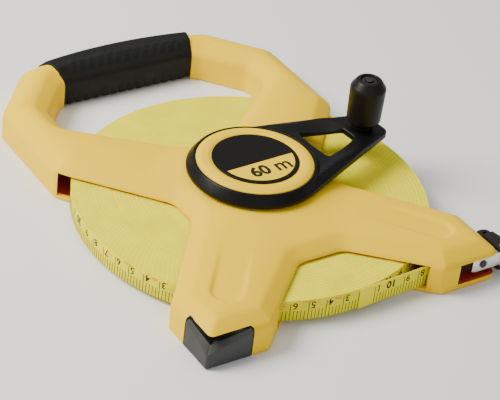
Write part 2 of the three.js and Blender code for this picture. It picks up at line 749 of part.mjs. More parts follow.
// a rod lying along Y at the rivet's place
function crossRod(radius, y0, y1) {
  return rod(radius, -y1, -y0).rotate([90, 0, 0]).translate([rivetX, 0, strapMiddle]);
}
function endStrap() {
  const slabLength = hookPinX - 1;
  let strap = prism(
    [
      [strapStart + STRAP_CUT, strapOuterY],
      [slabLength, strapOuterY],
      [slabLength, strapOuterY + STRAP_THICKNESS],
      [strapStart, strapOuterY + STRAP_THICKNESS],
    ],
    STRAP_LOW,
    strapHigh,
  );
  const innerEnd = strapInnerY + STRAP_THICKNESS;
  strap = strap.add(block(strapStart + 4.5, slabLength, strapInnerY, innerEnd, STRAP_LOW, strapHigh));
  strap = strap.add(rod(eyeRadius, STRAP_LOW, strapHigh, hookPinX, pinY));
  strap = strap.subtract(rod(HOOK_PIN_RADIUS + TOUCH_GAP, 0, above, hookPinX, pinY));
  return strap.subtract(crossRod(RIVET_RADIUS + TOUCH_GAP, pinY - 9, pinY + 9));
}
piece("end_strap", endStrap(), metal(0xd8d8d4, 0.35));
const slideStart = HALF_WIDTH - SLIDE_INSIDE;
const rivetHole = crossRod(RIVET_RADIUS + TOUCH_GAP, pinY - 9, pinY + 9);
const slide = block(slideStart, HALF_WIDTH, slideY, slideY + TAPE_THICKNESS, coilLow, coilHigh);
piece("tape_end_strip", slide.subtract(rivetHole), tapeYellow());
const outerHead = strapOuterY - TOUCH_GAP;
const innerHead = strapInnerY + STRAP_THICKNESS + TOUCH_GAP;
piece(
  "strap_rivet",
  crossRod(RIVET_RADIUS, outerHead - 0.1, innerHead + 0.1)
    .add(crossRod(RIVET_HEAD, outerHead - RIVET_HEAD_HEIGHT, outerHead))
    .add(crossRod(RIVET_HEAD, innerHead, innerHead + RIVET_HEAD_HEIGHT)),
  steel(),
);
// the tape turns round this pin on its way out of the arm
const guideY = slideY + TAPE_THICKNESS + RUN_GAP + GUIDE_PIN_RADIUS;
piece("guide_pin", rod(GUIDE_PIN_RADIUS, shellLow, roofLow - 2.2, guidePinX, guideY), steel());

// ---- folding hook -------------------------------------------------------------------------
const lugLow = STRAP_LOW - TOUCH_GAP - LUG;
const lugHigh = strapHigh + TOUCH_GAP + LUG;
const hookInner = HALF_WIDTH + RUN_GAP + TOUCH_GAP;
const hookOuter = hookPinX + HOOK_BACK;
const hookEnd = pinY + HOOK_LENGTH;
const eyeY = hookEnd - 5;
const clawStart = pinY + CLAW_START;
piece(
  "hook_pin",
  rod(HOOK_PIN_RADIUS, lugLow - 0.4, lugHigh + 0.4, hookPinX, pinY).add(
    rod(HOOK_PIN_HEAD, lugHigh + TOUCH_GAP, lugHigh + 0.9, hookPinX, pinY),
  ),
  steel(),
);
function hookBody() {
  const outline = [
    [hookPinX + HOOK_ROUND, pinY - HOOK_ROUND, 3],
    [hookOuter + 1.2, pinY + 9, 2],
    [hookOuter, hookEnd - TONGUE, 2],
    [hookOuter - 1, hookEnd, 3],
    [hookInner, hookEnd, 3],
    [hookInner, pinY - HOOK_ROUND, 2.5],
  ];
  let body = prism(outline, lugLow, lugHigh);
  // the fork takes the strap's eye between its two lugs
  const forkEnd = pinY + eyeRadius + 1.2;
  const forkLow = STRAP_LOW - TOUCH_GAP;
  const forkHigh = strapHigh + TOUCH_GAP;
  body = body.subtract(block(hookInner - 5, hookOuter + 9, pinY - 9, forkEnd, forkLow, forkHigh));
  body = body.subtract(rod(HOOK_PIN_RADIUS + TOUCH_GAP, 0, above, hookPinX, pinY));
  // the free end is stepped down to a thinner tongue with a nail eye
  const across = [hookInner - 9, hookOuter + 9];
  body = body.subtract(block(...across, hookEnd - TONGUE, hookEnd + 9, lugHigh - 2.4, above));
  body = body.add(rod(3.6, lugLow + 3, lugHigh - 1.2, hookPinX, eyeY));
  body = body.subtract(block(...across, hookEnd - TONGUE, hookEnd + 9, 0, lugLow + 3.2));
  body = body.subtract(rod(NAIL_EYE, 0, above, hookPinX, eyeY));
  // slot for the claw
  const slotLow = CLAW_LOW - TOUCH_GAP;
  const slotHigh = CLAW_HIGH + TOUCH_GAP;
  const slotStart = clawStart - TOUCH_GAP;
  const slotEnd = clawStart + CLAW_LENGTH + TOUCH_GAP;
  body = body.subtract(block(hookOuter - 1.4, hookOuter + 9, slotStart, slotEnd, slotLow, slotHigh));
  return body;
}
piece("hook_body", hookBody(), crankBlack());
piece(
  "hook_claw",
  prism(
    [
      [hookOuter - 1.1, clawStart],
      [hookOuter + 0.4, clawStart],
      [hookOuter + 1.6, clawStart + 2.2],
      [hookOuter + 0.4, clawStart + CLAW_LENGTH],
      [hookOuter - 1.1, clawStart + CLAW_LENGTH],
    ],
    CLAW_LOW,
    CLAW_HIGH,
  ),
  steel(),
);

export default reel;
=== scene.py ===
import math
import bmesh
import bpy
import numpy as np
from mathutils import Matrix, Vector
from mathutils.geometry import delaunay_2d_cdt


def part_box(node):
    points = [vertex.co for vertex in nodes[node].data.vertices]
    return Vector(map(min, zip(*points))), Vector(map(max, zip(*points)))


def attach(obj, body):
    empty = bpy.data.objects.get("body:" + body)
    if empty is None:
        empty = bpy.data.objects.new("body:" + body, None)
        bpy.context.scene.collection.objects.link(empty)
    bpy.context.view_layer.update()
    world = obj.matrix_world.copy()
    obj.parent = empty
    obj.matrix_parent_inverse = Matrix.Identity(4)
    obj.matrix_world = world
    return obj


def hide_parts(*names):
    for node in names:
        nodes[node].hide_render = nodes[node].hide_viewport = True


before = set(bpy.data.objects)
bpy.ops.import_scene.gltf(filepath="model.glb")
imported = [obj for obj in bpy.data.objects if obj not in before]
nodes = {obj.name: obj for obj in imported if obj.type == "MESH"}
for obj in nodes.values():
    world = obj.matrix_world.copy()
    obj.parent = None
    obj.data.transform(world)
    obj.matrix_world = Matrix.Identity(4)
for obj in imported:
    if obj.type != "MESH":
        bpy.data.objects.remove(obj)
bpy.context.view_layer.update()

mm = 0.001
rng = np.random.default_rng(7)


def boxOf(node):
    # lowest and highest corners of a CAD node, in millimetres
    low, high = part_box(node)
    return np.array(low) / mm, np.array(high) / mm


shellLow, shellHigh = boxOf("front_shell")
coilLow, coilHigh = boxOf("tape_coil")
coilRadius = coilHigh[0]
tapeLow, tapeHigh = coilLow[2], coilHigh[2]
print("frame loaded")


# ---- outlines: straight runs between corners, joined by arcs
def roundedLine(corners, inset=0.0, closed=True, arcPoints=6, step=4.0, least=0.4):
    # each side moves to its left by inset; a corner (x, y, radius) turns on an arc of radius - inset
    # where the line bends left and of radius + inset where it bends right
    spots = np.array([corner[:2] for corner in corners], float)
    radii = np.array([corner[2] if len(corner) > 2 else 0.0 for corner in corners], float)
    along = np.roll(spots, -1, 0) - spots
    length = np.linalg.norm(along, axis=1)
    along = along / length[:, None]
    left = np.stack([-along[:, 1], along[:, 0]], 1)
    before = np.roll(along, 1, 0)
    leftBefore = np.roll(left, 1, 0)
    turn = np.arctan2(before[:, 0] * along[:, 1] - before[:, 1] * along[:, 0], (before * along).sum(1))
    spread = 1 + (left * leftBefore).sum(1)
    if not closed:
        spread[[0, -1]] = 1
    moved = spots + inset * (left + leftBefore) / spread[:, None]
    tight = np.minimum(radii, least)
    bend = np.where(turn > 0, np.maximum(radii - inset, tight), radii + inset * (radii > 0))
    reach = bend * np.tan(np.abs(turn) / 2)
    rows = []
    count = len(corners)
    for i in range(count):
        isEnd = not closed and i in (0, count - 1)
        if radii[i] > 0 and not isEnd:
            angle = np.linspace(0, turn[i], arcPoints)[:, None]
            side = np.sign(turn[i])
            arm = -leftBefore[i] * bend[i] * side
            centre = moved[i] - before[i] * reach[i] - arm
            across = np.array([-arm[1], arm[0]])
            rows.append(centre + arm * np.cos(angle) + across * np.sin(angle))
        else:
            reach[i] = 0
            rows.append(moved[i][None])
        if closed or i < count - 1:
            j = (i + 1) % count
            nextReach = reach[j] if radii[j] > 0 and (closed or j < count - 1) else 0
            start = rows[-1][-1]
            end = moved[j] - before[j] * nextReach
            share = np.linspace(0, 1, max(int(length[i] // step), 1) + 1)[1:-1, None]
            rows.append(start + (end - start) * share)
    return np.vstack(rows)


def mirrored(corners):
    # right-hand corners, then the same ones on the left, turned anticlockwise
    return [(-x, y, r) for x, y, r in corners] + [(x, y, r) for x, y, r in corners[::-1]]


def insideOf(points, loops):
    # a point is inside where a ray along +X crosses the loops an odd number of times
    crossings = np.zeros(len(points), int)
    x, y = points[:, :1], points[:, 1:2]
    for loop in loops:
        a, b = loop, np.roll(loop, -1, 0)
        spans = (a[:, 1] > y) != (b[:, 1] > y)
        rise = np.where(b[:, 1] == a[:, 1], 1, b[:, 1] - a[:, 1])
        hit = a[:, 0] + (y - a[:, 1]) / rise * (b[:, 0] - a[:, 0])
        crossings += (spans & (x < hit)).sum(1)
    return crossings % 2 == 1


def distanceTo(points, loops):
    # shortest distance from each point to the loops' sides
    best = np.full(len(points), np.inf)
    for loop in loops:
        a, side = loop, np.roll(loop, -1, 0) - loop
        length2 = (side**2).sum(1) + 1e-12
        for chunk in range(0, len(points), 4000):
            rel = points[chunk : chunk + 4000, None, :2] - a[None]
            share = np.clip((rel * side).sum(2) / length2, 0, 1)
            gap = np.linalg.norm(rel - share[..., None] * side, axis=2).min(1)
            best[chunk : chunk + 4000] = np.minimum(best[chunk : chunk + 4000], gap)
    return best


def smooth(value, low, high):
    # 0 below low, 1 above high, an S curve between
    t = np.clip((value - low) / (high - low), 0, 1)
    return t * t * (3 - 2 * t)


# ---- meshes
def gridFaces(rows, cols, start=0, wrapRows=False, wrapCols=True):
    # quads between neighbouring points of a grid, closed round either way
    index = start + np.arange(rows * cols).reshape(rows, cols)
    if wrapRows:
        index = np.vstack([index, index[:1]])
    if wrapCols:
        index = np.hstack([index, index[:, :1]])
    quads = np.stack([index[:-1, :-1], index[:-1, 1:], index[1:, 1:], index[1:, :-1]], -1)
    return quads.reshape(-1, 4).tolist()


def fillLoops(verts, loops, inner, innerStart):
    # triangles between closed loops of vertex numbers, through the inner points; triangles that the
    # loops keep apart form groups, and a group stays when its largest triangle lies inside
    ring = np.concatenate(loops)
    edges, start = [], 0
    for loop in loops:
        here = start + np.arange(len(loop))
        edges += np.stack([here, np.roll(here, -1)], 1).tolist()
        start += len(loop)
    flat = np.vstack([verts[ring][:, :2], inner]) if len(inner) else verts[ring][:, :2]
    found = delaunay_2d_cdt([Vector(p) for p in flat.tolist()], edges, [], 0, 1e-7)
    first = np.array([source[0] for source in found[3]])
    local = first[np.array(found[2])]
    walls = {frozenset(edge) for edge in edges}
    sides = {}
    for number, (a, b, c) in enumerate(local.tolist()):
        for edge in (frozenset((a, b)), frozenset((b, c)), frozenset((c, a))):
            if edge not in walls:
                sides.setdefault(edge, []).append(number)
    beside = {}
    for pair in sides.values():
        if len(pair) == 2:
            beside.setdefault(pair[0], []).append(pair[1])
            beside.setdefault(pair[1], []).append(pair[0])
    corner = flat[local]
    one, two = corner[:, 1] - corner[:, 0], corner[:, 2] - corner[:, 0]
    area = np.abs(one[:, 0] * two[:, 1] - one[:, 1] * two[:, 0])
    group = np.full(len(local), -1)
    keep = np.zeros(len(local), bool)
    outlinesHere = [verts[loop][:, :2] for loop in loops]
    for seed in range(len(local)):
        if group[seed] >= 0:
            continue
        group[seed] = seed
        members = [seed]
        for number in members:
            for other in beside.get(number, ()):
                if group[other] < 0:
                    group[other] = seed
                    members.append(other)
        largest = max(members, key=lambda number: area[number])
        keep[members] = area[largest] > 1e-6 and insideOf(corner[largest].mean(0)[None], outlinesHere)[0]
    source = np.concatenate([ring, innerStart + np.arange(len(inner))]).astype(int)
    return source[local[keep]].tolist()


def planSolid(plans, rings, inner=None, warp=None, step=4.0, least=0.4, arcPoints=6):
    # closed outlines with the material on their left, carried up through (inset, height) rings,
    # with a flat base and a top filled through the inner points; warp reshapes all the vertices
    rings = np.array(rings, float)
    layers, faces, bottoms, tops, start = [], [], [], [], 0
    for plan in plans:
        stack = []
        for inset, height in rings:
            line = roundedLine(plan, inset, True, arcPoints, step, least)
            stack.append(np.column_stack([line, np.full(len(line), height)]))
        cols = len(stack[0])
        layers.append(np.vstack(stack))
        faces += gridFaces(len(rings), cols, start)
        bottoms.append(start + np.arange(cols))
        tops.append(start + (len(rings) - 1) * cols + np.arange(cols))
        start += len(rings) * cols
    verts = np.vstack(layers)
    inner = np.zeros((0, 2)) if inner is None else inner
    faces += fillLoops(verts, tops, inner, start)
    faces += fillLoops(verts, bottoms, np.zeros((0, 2)), 0)
    verts = np.vstack([verts, np.column_stack([inner, np.full(len(inner), rings[-1, 1])])])
    return (warp(verts) if warp else verts), faces


def latheSolid(profile, sides=96, centre=(0, 0), wobble=None):
    # a closed line of (radius, height) points turned about the upright axis at centre
    profile = np.array(profile, float)
    angle = np.linspace(0, 2 * math.pi, sides, endpoint=False)
    radius = np.repeat(profile[:, :1], sides, 1)
    height = np.repeat(profile[:, 1:2], sides, 1)
    if wobble:
        radius, height = wobble(radius, height, angle[None])
    x = centre[0] + radius * np.cos(angle)
    y = centre[1] + radius * np.sin(angle)
    verts = np.stack([x, y, height], -1).reshape(-1, 3)
    return verts, gridFaces(len(profile), sides, 0, wrapRows=True)


def tubeSolid(grid):
    # a closed section at every station along a path, with both ends filled
    rows, cols = grid.shape[:2]
    ends = [list(range(cols)), [(rows - 1) * cols + k for k in range(cols)]]
    return grid.reshape(-1, 3), gridFaces(rows, cols) + ends


def blockSolid(low, high):
    x, y, z = np.meshgrid([low[0], high[0]], [low[1], high[1]], [low[2], high[2]], indexing="ij")
    verts = np.stack([x, y, z], -1).reshape(-1, 3)
    sides = [[0, 1, 3, 2], [4, 6, 7, 5], [0, 4, 5, 1], [2, 3, 7, 6], [0, 2, 6, 4], [1, 5, 7, 3]]
    return verts, sides


def rodSolid(radius, low, high, x=0.0, y=0.0, sides=96):
    return latheSolid([(0, low), (radius, low), (radius, high), (0, high)], sides, (x, y))


def turnedBy(verts, degrees):
    c, s = math.cos(math.radians(degrees)), math.sin(math.radians(degrees))
    x, y = verts[:, 0], verts[:, 1]
    return np.column_stack([x * c - y * s, x * s + y * c, verts[:, 2]])


def joined(solids):
    # several vertex and face lists as one
    verts, faces, start = [], [], 0
    for part, sides in solids:
        verts.append(part)
        faces += [[start + corner for corner in side] for side in sides]
        start += len(part)
    return np.vstack(verts), faces


def newObject(name, solid):
    verts, faces = solid
    mesh = bpy.data.meshes.new(name)
    mesh.from_pydata((verts * mm).tolist(), [], faces)
    work = bmesh.new()
    work.from_mesh(mesh)
    bmesh.ops.remove_doubles(work, verts=work.verts, dist=2e-6)
    bmesh.ops.dissolve_degenerate(work, edges=work.edges, dist=1e-6)
    bmesh.ops.recalc_face_normals(work, faces=work.faces)
    work.to_mesh(mesh)
    work.free()
    thing = bpy.data.objects.new(name, mesh)
    bpy.context.scene.collection.objects.link(thing)
    return thing


def settle(thing):
    # modifiers become the mesh itself
    view = bpy.context.evaluated_depsgraph_get()
    mesh = bpy.data.meshes.new_from_object(thing.evaluated_get(view))
    thing.modifiers.clear()
    thing.data = mesh


def combine(thing, solid, how="DIFFERENCE"):
    other = solid if isinstance(solid, bpy.types.Object) else newObject("cutter", solid)
    step = thing.modifiers.new(how, "BOOLEAN")
    step.operation = how
    step.solver = "MANIFOLD"
    step.object = other
    settle(thing)
    bpy.data.objects.remove(other)


def finishPiece(thing, material, body, replaced=(), sharp=32, bevel=0.0, segments=2):
    if bevel:
        edge = thing.modifiers.new("edges", "BEVEL")
        edge.width = bevel * mm
        edge.segments = segments
        edge.limit_method = "ANGLE"
        edge.angle_limit = math.radians(sharp + 3)
        edge.harden_normals = False
        settle(thing)
    mesh = thing.data
    mesh.shade_smooth()
    mesh.set_sharp_from_angle(angle=math.radians(sharp))
    mesh.materials.clear()
    mesh.materials.append(material)
    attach(thing, body)
    if replaced:
        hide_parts(*replaced)


def cadCopy(node, name):
    # a merged copy of a CAD node, for pieces that only need softer edges
    mesh = nodes[node].data.copy()
    work = bmesh.new()
    work.from_mesh(mesh)
    bmesh.ops.remove_doubles(work, verts=work.verts, dist=5e-6)
    bmesh.ops.dissolve_limit(
        work, angle_limit=math.radians(1), use_dissolve_boundaries=False, verts=work.verts, edges=work.edges
    )
    work.to_mesh(mesh)
    work.free()
    if "UVMap" in mesh.uv_layers:
        mesh.uv_layers.remove(mesh.uv_layers["UVMap"])
    copy = bpy.data.objects.new(name, mesh)
    bpy.context.scene.collection.objects.link(copy)
    return copy


# ---- materials
def newMaterial(name):
    material = bpy.data.materials.new(name)
    material.use_nodes = True
    tree = material.node_tree
    shader = tree.nodes["Principled BSDF"]
    place = tree.nodes.new("ShaderNodeTexCoord").outputs["Object"]
    return material, tree, shader, place


def noiseNode(tree, place, scale, detail=3.0, rough=0.5):
    node = tree.nodes.new("ShaderNodeTexNoise")
    node.inputs["Scale"].default_value = scale
    node.inputs["Detail"].default_value = detail
    node.inputs["Roughness"].default_value = rough
    tree.links.new(place, node.inputs["Vector"])
    return node.outputs["Fac"]


def rangeNode(tree, value, low, high, fromLow=0.3, fromHigh=0.7):
    node = tree.nodes.new("ShaderNodeMapRange")
    node.inputs["From Min"].default_value = fromLow
    node.inputs["From Max"].default_value = fromHigh
    node.inputs["To Min"].default_value = low
    node.inputs["To Max"].default_value = high
    tree.links.new(value, node.inputs["Value"])
    return node.outputs["Result"]


def mixNode(tree, value, dark, light):
    node = tree.nodes.new("ShaderNodeMix")
    node.data_type = "RGBA"
    node.inputs["A"].default_value = (*dark, 1)
    node.inputs["B"].default_value = (*light, 1)
    tree.links.new(value, node.inputs["Factor"])
    return node.outputs["Result"]


def bumpNode(tree, height, strength, distance, under=None):
    node = tree.nodes.new("ShaderNodeBump")
    node.inputs["Strength"].default_value = strength
    node.inputs["Distance"].default_value = distance * mm
    tree.links.new(height, node.inputs["Height"])
    if under:
        tree.links.new(under, node.inputs["Normal"])
    return node.outputs["Normal"]


def mathNode(tree, kind, a, b=None):
    node = tree.nodes.new("ShaderNodeMath")
    node.operation = kind
    for socket, value in zip(node.inputs, (a, b)):
        if value is None:
            continue
        if isinstance(value, (int, float)):
            socket.default_value = value
        else:
            tree.links.new(value, socket)
    return node.outputs[0]


plainLook = dict(specular=0.5, patches=18, drift=0.04, waves=120, waveDepth=0.05, grain=2600, grainDepth=0.12)


def mouldedMaterial(name, look):
    # a moulded surface: slow drift of tone, fine grain, and gloss that varies a little
    look = {**plainLook, **look}
    material, tree, shader, place = newMaterial(name)
    tone = np.array(look["tone"])
    drift = rangeNode(tree, noiseNode(tree, place, look["patches"], 4), 0, 1)
    colour = mixNode(tree, drift, tone * (1 - look["drift"]), tone * (1 + look["drift"]))
    tree.links.new(colour, shader.inputs["Base Color"])
    gloss = rangeNode(tree, noiseNode(tree, place, look["patches"] * 4, 5, 0.6), *look["gloss"])
    tree.links.new(gloss, shader.inputs["Roughness"])
    normal = bumpNode(tree, noiseNode(tree, place, look["waves"], 1), look["waveDepth"], 0.3)
    normal = bumpNode(tree, noiseNode(tree, place, look["grain"], 2), look["grainDepth"], 0.06, normal)
    tree.links.new(normal, shader.inputs["Normal"])
    shader.inputs["Specular IOR Level"].default_value = look["specular"]
    return material


def brushedMaterial(name, look):
    # metal with fine lines along one direction
    material, tree, shader, place = newMaterial(name)
    stretch = tree.nodes.new("ShaderNodeMapping")
    stretch.inputs["Scale"].default_value = look.get("stretch", (1, 1, 14))
    tree.links.new(place, stretch.inputs["Vector"])
    lines = noiseNode(tree, stretch.outputs["Vector"], 900, 3, 0.65)
    tone = np.array(look["tone"])
    colour = mixNode(tree, rangeNode(tree, lines, 0, 1), tone * 0.85, tone * 1.08)
    tree.links.new(colour, shader.inputs["Base Color"])
    tree.links.new(rangeNode(tree, lines, *look["gloss"]), shader.inputs["Roughness"])
    tree.links.new(bumpNode(tree, lines, 0.15, 0.05), shader.inputs["Normal"])
    shader.inputs["Metallic"].default_value = look.get("metal", 1.0)
    return material


def coilMaterial(name, look):
    # the wound tape seen edge-on: a fine line for each turn, broken into stitches round the circle
    material, tree, shader, place = newMaterial(name)
    split = tree.nodes.new("ShaderNodeSeparateXYZ")
    tree.links.new(place, split.inputs["Vector"])
    x, y = split.outputs["X"], split.outputs["Y"]

    def times(a, b):
        return mathNode(tree, "MULTIPLY", a, b)

    def plus(a, b):
        return mathNode(tree, "ADD", a, b)

    radius = mathNode(tree, "SQRT", plus(times(x, x), times(y, y)))
    angle = mathNode(tree, "ARCTAN2", y, x)
    turns = mathNode(tree, "SINE", times(radius, 2 * math.pi / (look["turn"] * mm)))
    stitch = mathNode(tree, "SINE", plus(times(angle, look["stitches"]), times(radius, look["lean"])))
    weave = times(turns, stitch)
    blotch = noiseNode(tree, place, 60, 5, 0.6)
    fibre = noiseNode(tree, place, 1500, 2)
    tone = np.array(look["tone"])
    shade = plus(plus(times(weave, 0.22), times(turns, 0.12)), blotch)
    colour = mixNode(tree, rangeNode(tree, shade, 0, 1, 0.1, 0.9), tone * look["dark"], tone * look["light"])
    tree.links.new(colour, shader.inputs["Base Color"])
    tree.links.new(rangeNode(tree, fibre, *look["gloss"]), shader.inputs["Roughness"])
    relief = plus(times(turns, 0.4), times(weave, 0.6))
    normal = bumpNode(tree, relief, 0.35, 0.07)
    tree.links.new(bumpNode(tree, fibre, 0.2, 0.05, normal), shader.inputs["Normal"])
    shader.inputs["Specular IOR Level"].default_value = 0.12
    return material


looks = {
    "frameYellow": dict(
        tone=(0.98, 0.64, 0.0), specular=0.06, gloss=(0.40, 0.52), grain=2400, grainDepth=0.10, drift=0.02,
        waveDepth=0.03,
    ),
    # dark red painted shade for the shadowed insides of the yellow shells
    "innerShadeRed": dict(tone=(0.55, 0.045, 0.03), gloss=(0.4, 0.55), grain=1800),
    "tapeYellow": dict(
        tone=(0.92, 0.83, 0.005), specular=0.15, gloss=(0.42, 0.58), grain=3200, grainDepth=0.25, drift=0.03
    ),
    "gripRubber": dict(
        tone=(0.010, 0.011, 0.011), specular=0.16, gloss=(0.48, 0.66), grain=1700, grainDepth=0.45, patches=30
    ),
    "crankBlack": dict(
        tone=(0.005, 0.005, 0.006), specular=0.16, gloss=(0.30, 0.42), grain=2600, grainDepth=0.15, patches=25
    ),
    "knobBlack": dict(
        tone=(0.006, 0.006, 0.006), specular=0.2, gloss=(0.36, 0.48), grain=2600, grainDepth=0.15, patches=25
    ),
    "bumperGrey": dict(
        tone=(0.055, 0.057, 0.057), specular=0.25, gloss=(0.5, 0.66), grain=1500, grainDepth=0.4, drift=0.12
    ),
    "hubIvory": dict(tone=(0.75, 0.71, 0.60), gloss=(0.42, 0.55)),
    "labelBlack": dict(
        tone=(0.010, 0.010, 0.010), specular=0.06, gloss=(0.34, 0.44), grain=3000, grainDepth=0.06
    ),
    "labelYellow": dict(
        tone=(0.95, 0.66, 0.0), specular=0.15, gloss=(0.36, 0.46), grain=3000, grainDepth=0.06, drift=0.02
    ),
    "inkBlack": dict(tone=(0.020, 0.020, 0.014), specular=0.1, gloss=(0.5, 0.62), drift=0.2, patches=400),
    "inkRed": dict(tone=(0.85, 0.20, 0.01), gloss=(0.5, 0.62), drift=0.2, patches=400),
    # dark brown painted shade for the tape strip where it lies in the shadowed mouth
    "mouthShadeBrown": dict(
        tone=(0.045, 0.016, 0.011), specular=0.1, gloss=(0.5, 0.62), grain=1500, grainDepth=0.3
    ),
    "hookBlack": dict(
        tone=(0.012, 0.012, 0.013), specular=0.25, gloss=(0.28, 0.4), grain=2200, grainDepth=0.2
    ),
}
paint = {name: mouldedMaterial(name, look) for name, look in looks.items()}
paint["steel"] = brushedMaterial("steel", dict(tone=(0.55, 0.56, 0.57), gloss=(0.24, 0.4)))
paint["strapSilver"] = brushedMaterial(
    "strapSilver", dict(tone=(0.80, 0.79, 0.77), gloss=(0.3, 0.45), stretch=(1, 1, 20), metal=0.75)
)
paint["rivetDark"] = brushedMaterial("rivetDark", dict(tone=(0.06, 0.05, 0.05), gloss=(0.3, 0.45), metal=0.8))
paint["coil"] = coilMaterial(
    "coil",
    dict(
        tone=(0.93, 0.84, 0.005), turn=2.3, stitches=210, lean=1500, dark=0.80, light=1.07, gloss=(0.5, 0.66)
    ),
)
print("materials made")


# ---- the frame's moulded shells
shell = dict(
    halfWidth=shellHigh[0],
    foot=-shellLow[1],
    top=shellHigh[1],
    wallTop=17.0,  # where the upright wall turns into the sloping shoulder
    crease=9.0,  # from the wall to the crease round the top
    creaseHeight=23.0,
    rise=1.5,  # how far the top swells past the crease
    riseRun=7.0,
    domeHeight=3.1,
    domeStart=58.0,
    domeEnd=30.0,
    wall=2.6,
    windowRadius=coilRadius + 7.5,
    windowTop=tapeHigh + 1.3,
    neckRadius=18.5,
    scoopAngle=39.5,
    scoopStart=53.0,
    scoopLength=62.0,
    scoopHalf=9.0,
    scoopDepth=1.7,
    gripHalf=48.8,
    gripMiddle=155.0,
    gripSlope=0.3,
    bowEnd=50.0,
    bowDrop=6.5,  # how far the bar falls from its middle to its ends
    handTop=139.0,
    gap=0.3,
    pocketUp=22.3,
    pocketRight=27.3,
    pocketTop=18.4,
    sill=2.3,
    mouth=27.0,  # from the side wall in to the mouth's end
)
bowCorners = [(shell["bowEnd"] * s, shell["top"] - shell["bowDrop"] * s * s, 40) for s in (0.2, 0.6, 1.0)]
rightCorners = bowCorners + [
    (64, 158, 7),
    (shell["halfWidth"], 123, 5),
    (shell["halfWidth"], 57, 9),
    (shell["halfWidth"] - 5, 50, 2),
    (48, 4, 12),
    (47, -13.8, 12),
    (shell["halfWidth"], -70, 4),
    (shell["halfWidth"], -shell["foot"], 5),
    (55, -shell["foot"], 4),
    (14, -70, 11),
]
outerPlan = mirrored(rightCorners)
handLeft = [(-68.3, 94, 7), (-68.3, 112.5, 9), (-46, shell["handTop"], 12)]
handPlan = handLeft + [(-x, y, r) for x, y, r in handLeft[::-1]] + [(0, 36, 22)]
framePlans = [outerPlan, handPlan]
outlines = [roundedLine(plan) for plan in framePlans]

shoulder = roundedLine(
    [
        (0, 0.8),
        (0, shell["wallTop"], 5.5),
        (shell["crease"], shell["creaseHeight"], 9.0),
        (shell["crease"] + 2.6, shell["creaseHeight"] + 0.4),
    ],
    closed=False,
    arcPoints=7,
    step=6.0,
)
shellRings = np.vstack([[(0.7, 0.0), (0.2, 0.2)], shoulder])
topInset = shoulder[-1, 0]


def scoopGap(points, side):
    # signed distance to the outline of the long round-ended scoop on one lower arm
    turn = math.radians(-90 + side * shell["scoopAngle"])
    along = points[:, 0] * math.cos(turn) + points[:, 1] * math.sin(turn) - shell["scoopStart"]
    across = -points[:, 0] * math.sin(turn) + points[:, 1] * math.cos(turn)
    half = shell["scoopHalf"]
    clamped = np.clip(along, half, shell["scoopLength"] - half)
    return np.hypot(along - clamped, across) - half, along


def domeRise(points):
    radius = np.hypot(points[:, 0], points[:, 1])
    return shell["domeHeight"] * (1 - smooth(radius, shell["domeEnd"], shell["domeStart"]))


def shapeTop(verts):
    # the top swells gently away from its crease, rises to a dome round the axis and dips in the scoops
    lift = smooth(verts[:, 2], shell["wallTop"] - 4, shell["creaseHeight"])
    out = verts.copy()
    out[:, 2] += domeRise(verts) * lift
    flat = verts[:, 2] >= shellRings[-1, 1] - 1e-6
    spots = verts[flat]
    gap = distanceTo(spots, outlines) - topInset
    swell = shell["rise"] * (1 - np.exp(-np.maximum(gap, 0) / shell["riseRun"]))
    for side in (-1, 1):
        edge, along = scoopGap(spots, side)
        deep = shell["scoopDepth"] * smooth(along, 0, shell["scoopLength"] * 0.9)
        swell = swell - deep * (1 - smooth(edge, -2.6, 0.9))
    out[flat, 2] += swell
    return out


def topPoints():
    # an even grid over the top, with rows of points that follow the scoops' rims
    step = 2.4
    x, y = np.meshgrid(np.arange(-92, 93, step), np.arange(-106, 171, step))
    grid = np.column_stack([x.ravel() + 0.5 * step * (np.round(y.ravel() / step) % 2), y.ravel()])
    rows = []
    for side in (-1, 1):
        edge, _ = scoopGap(grid, side)
        grid = grid[(edge < -3.6) | (edge > 2.0)]
        turn = -90 + side * shell["scoopAngle"]
        half, length = shell["scoopHalf"], shell["scoopLength"]
        ends = [(0, -half), (length, -half), (length, half), (0, half)]
        stadium = [(x, y, half * 0.999) for x, y in ends]
        for inset in (-1.1, -0.5, 0.1, 0.7, 1.3, 1.9, 2.6):
            rim = roundedLine(stadium, inset, arcPoints=14, step=1.8)
            rim = turnedBy(np.column_stack([rim[:, 0] + shell["scoopStart"], rim[:, 1], rim[:, 0] * 0]), turn)
            rows.append(rim[:, :2])
    points = np.vstack([grid, *rows])
    lines = [roundedLine(plan, topInset, least=2.0) for plan in framePlans]
    points = points[insideOf(points, lines)]
    return points[distanceTo(points, lines) > 1.0]


def gripCut(slack):
    # the stretch of bar under the grip, with ends square to the bow
    def endX(y):
        return shell["gripHalf"] + slack + (y - shell["gripMiddle"]) * shell["gripSlope"]

    low, high = 125.0, 190.0
    plan = [(-endX(low), low), (endX(low), low), (endX(high), high), (-endX(high), high)]
    return planSolid([plan], [(0, -5), (0, 40)], step=500)


def footPocket(high):
    # the corner of the left foot that the rubber fills
    side, foot, far = shell["halfWidth"], shell["foot"], 30.0
    up, across = shell["pocketUp"], shell["pocketRight"]
    plan = [
        (-side - far, -foot - far),
        (-side + across, -foot - far),
        (-side + across, -foot + 1),
        (-side + 1, -foot + up),
        (-side - far, -foot + up),
    ]
    return planSolid([plan], [(0, -5), (0, high)], step=500)


def openMouth(thing):
    # the slot in the right foot, and the channel behind it that brings the tape from the coil
    foot, side, sill = shell["foot"], shell["halfWidth"], shell["sill"]
    lintel = shell["windowTop"] - 0.8
    combine(thing, blockSolid((side - shell["mouth"], -foot - 9, sill + 1), (side + 9, -foot + 11, lintel)))
    combine(thing, blockSolid((36, -foot + 5.6, sill), (side - 24, -foot + 10.5, lintel + 0.8)))
    combine(thing, blockSolid((57, -foot + 2.4, sill), (side - 24, -foot + 10.5, lintel)))


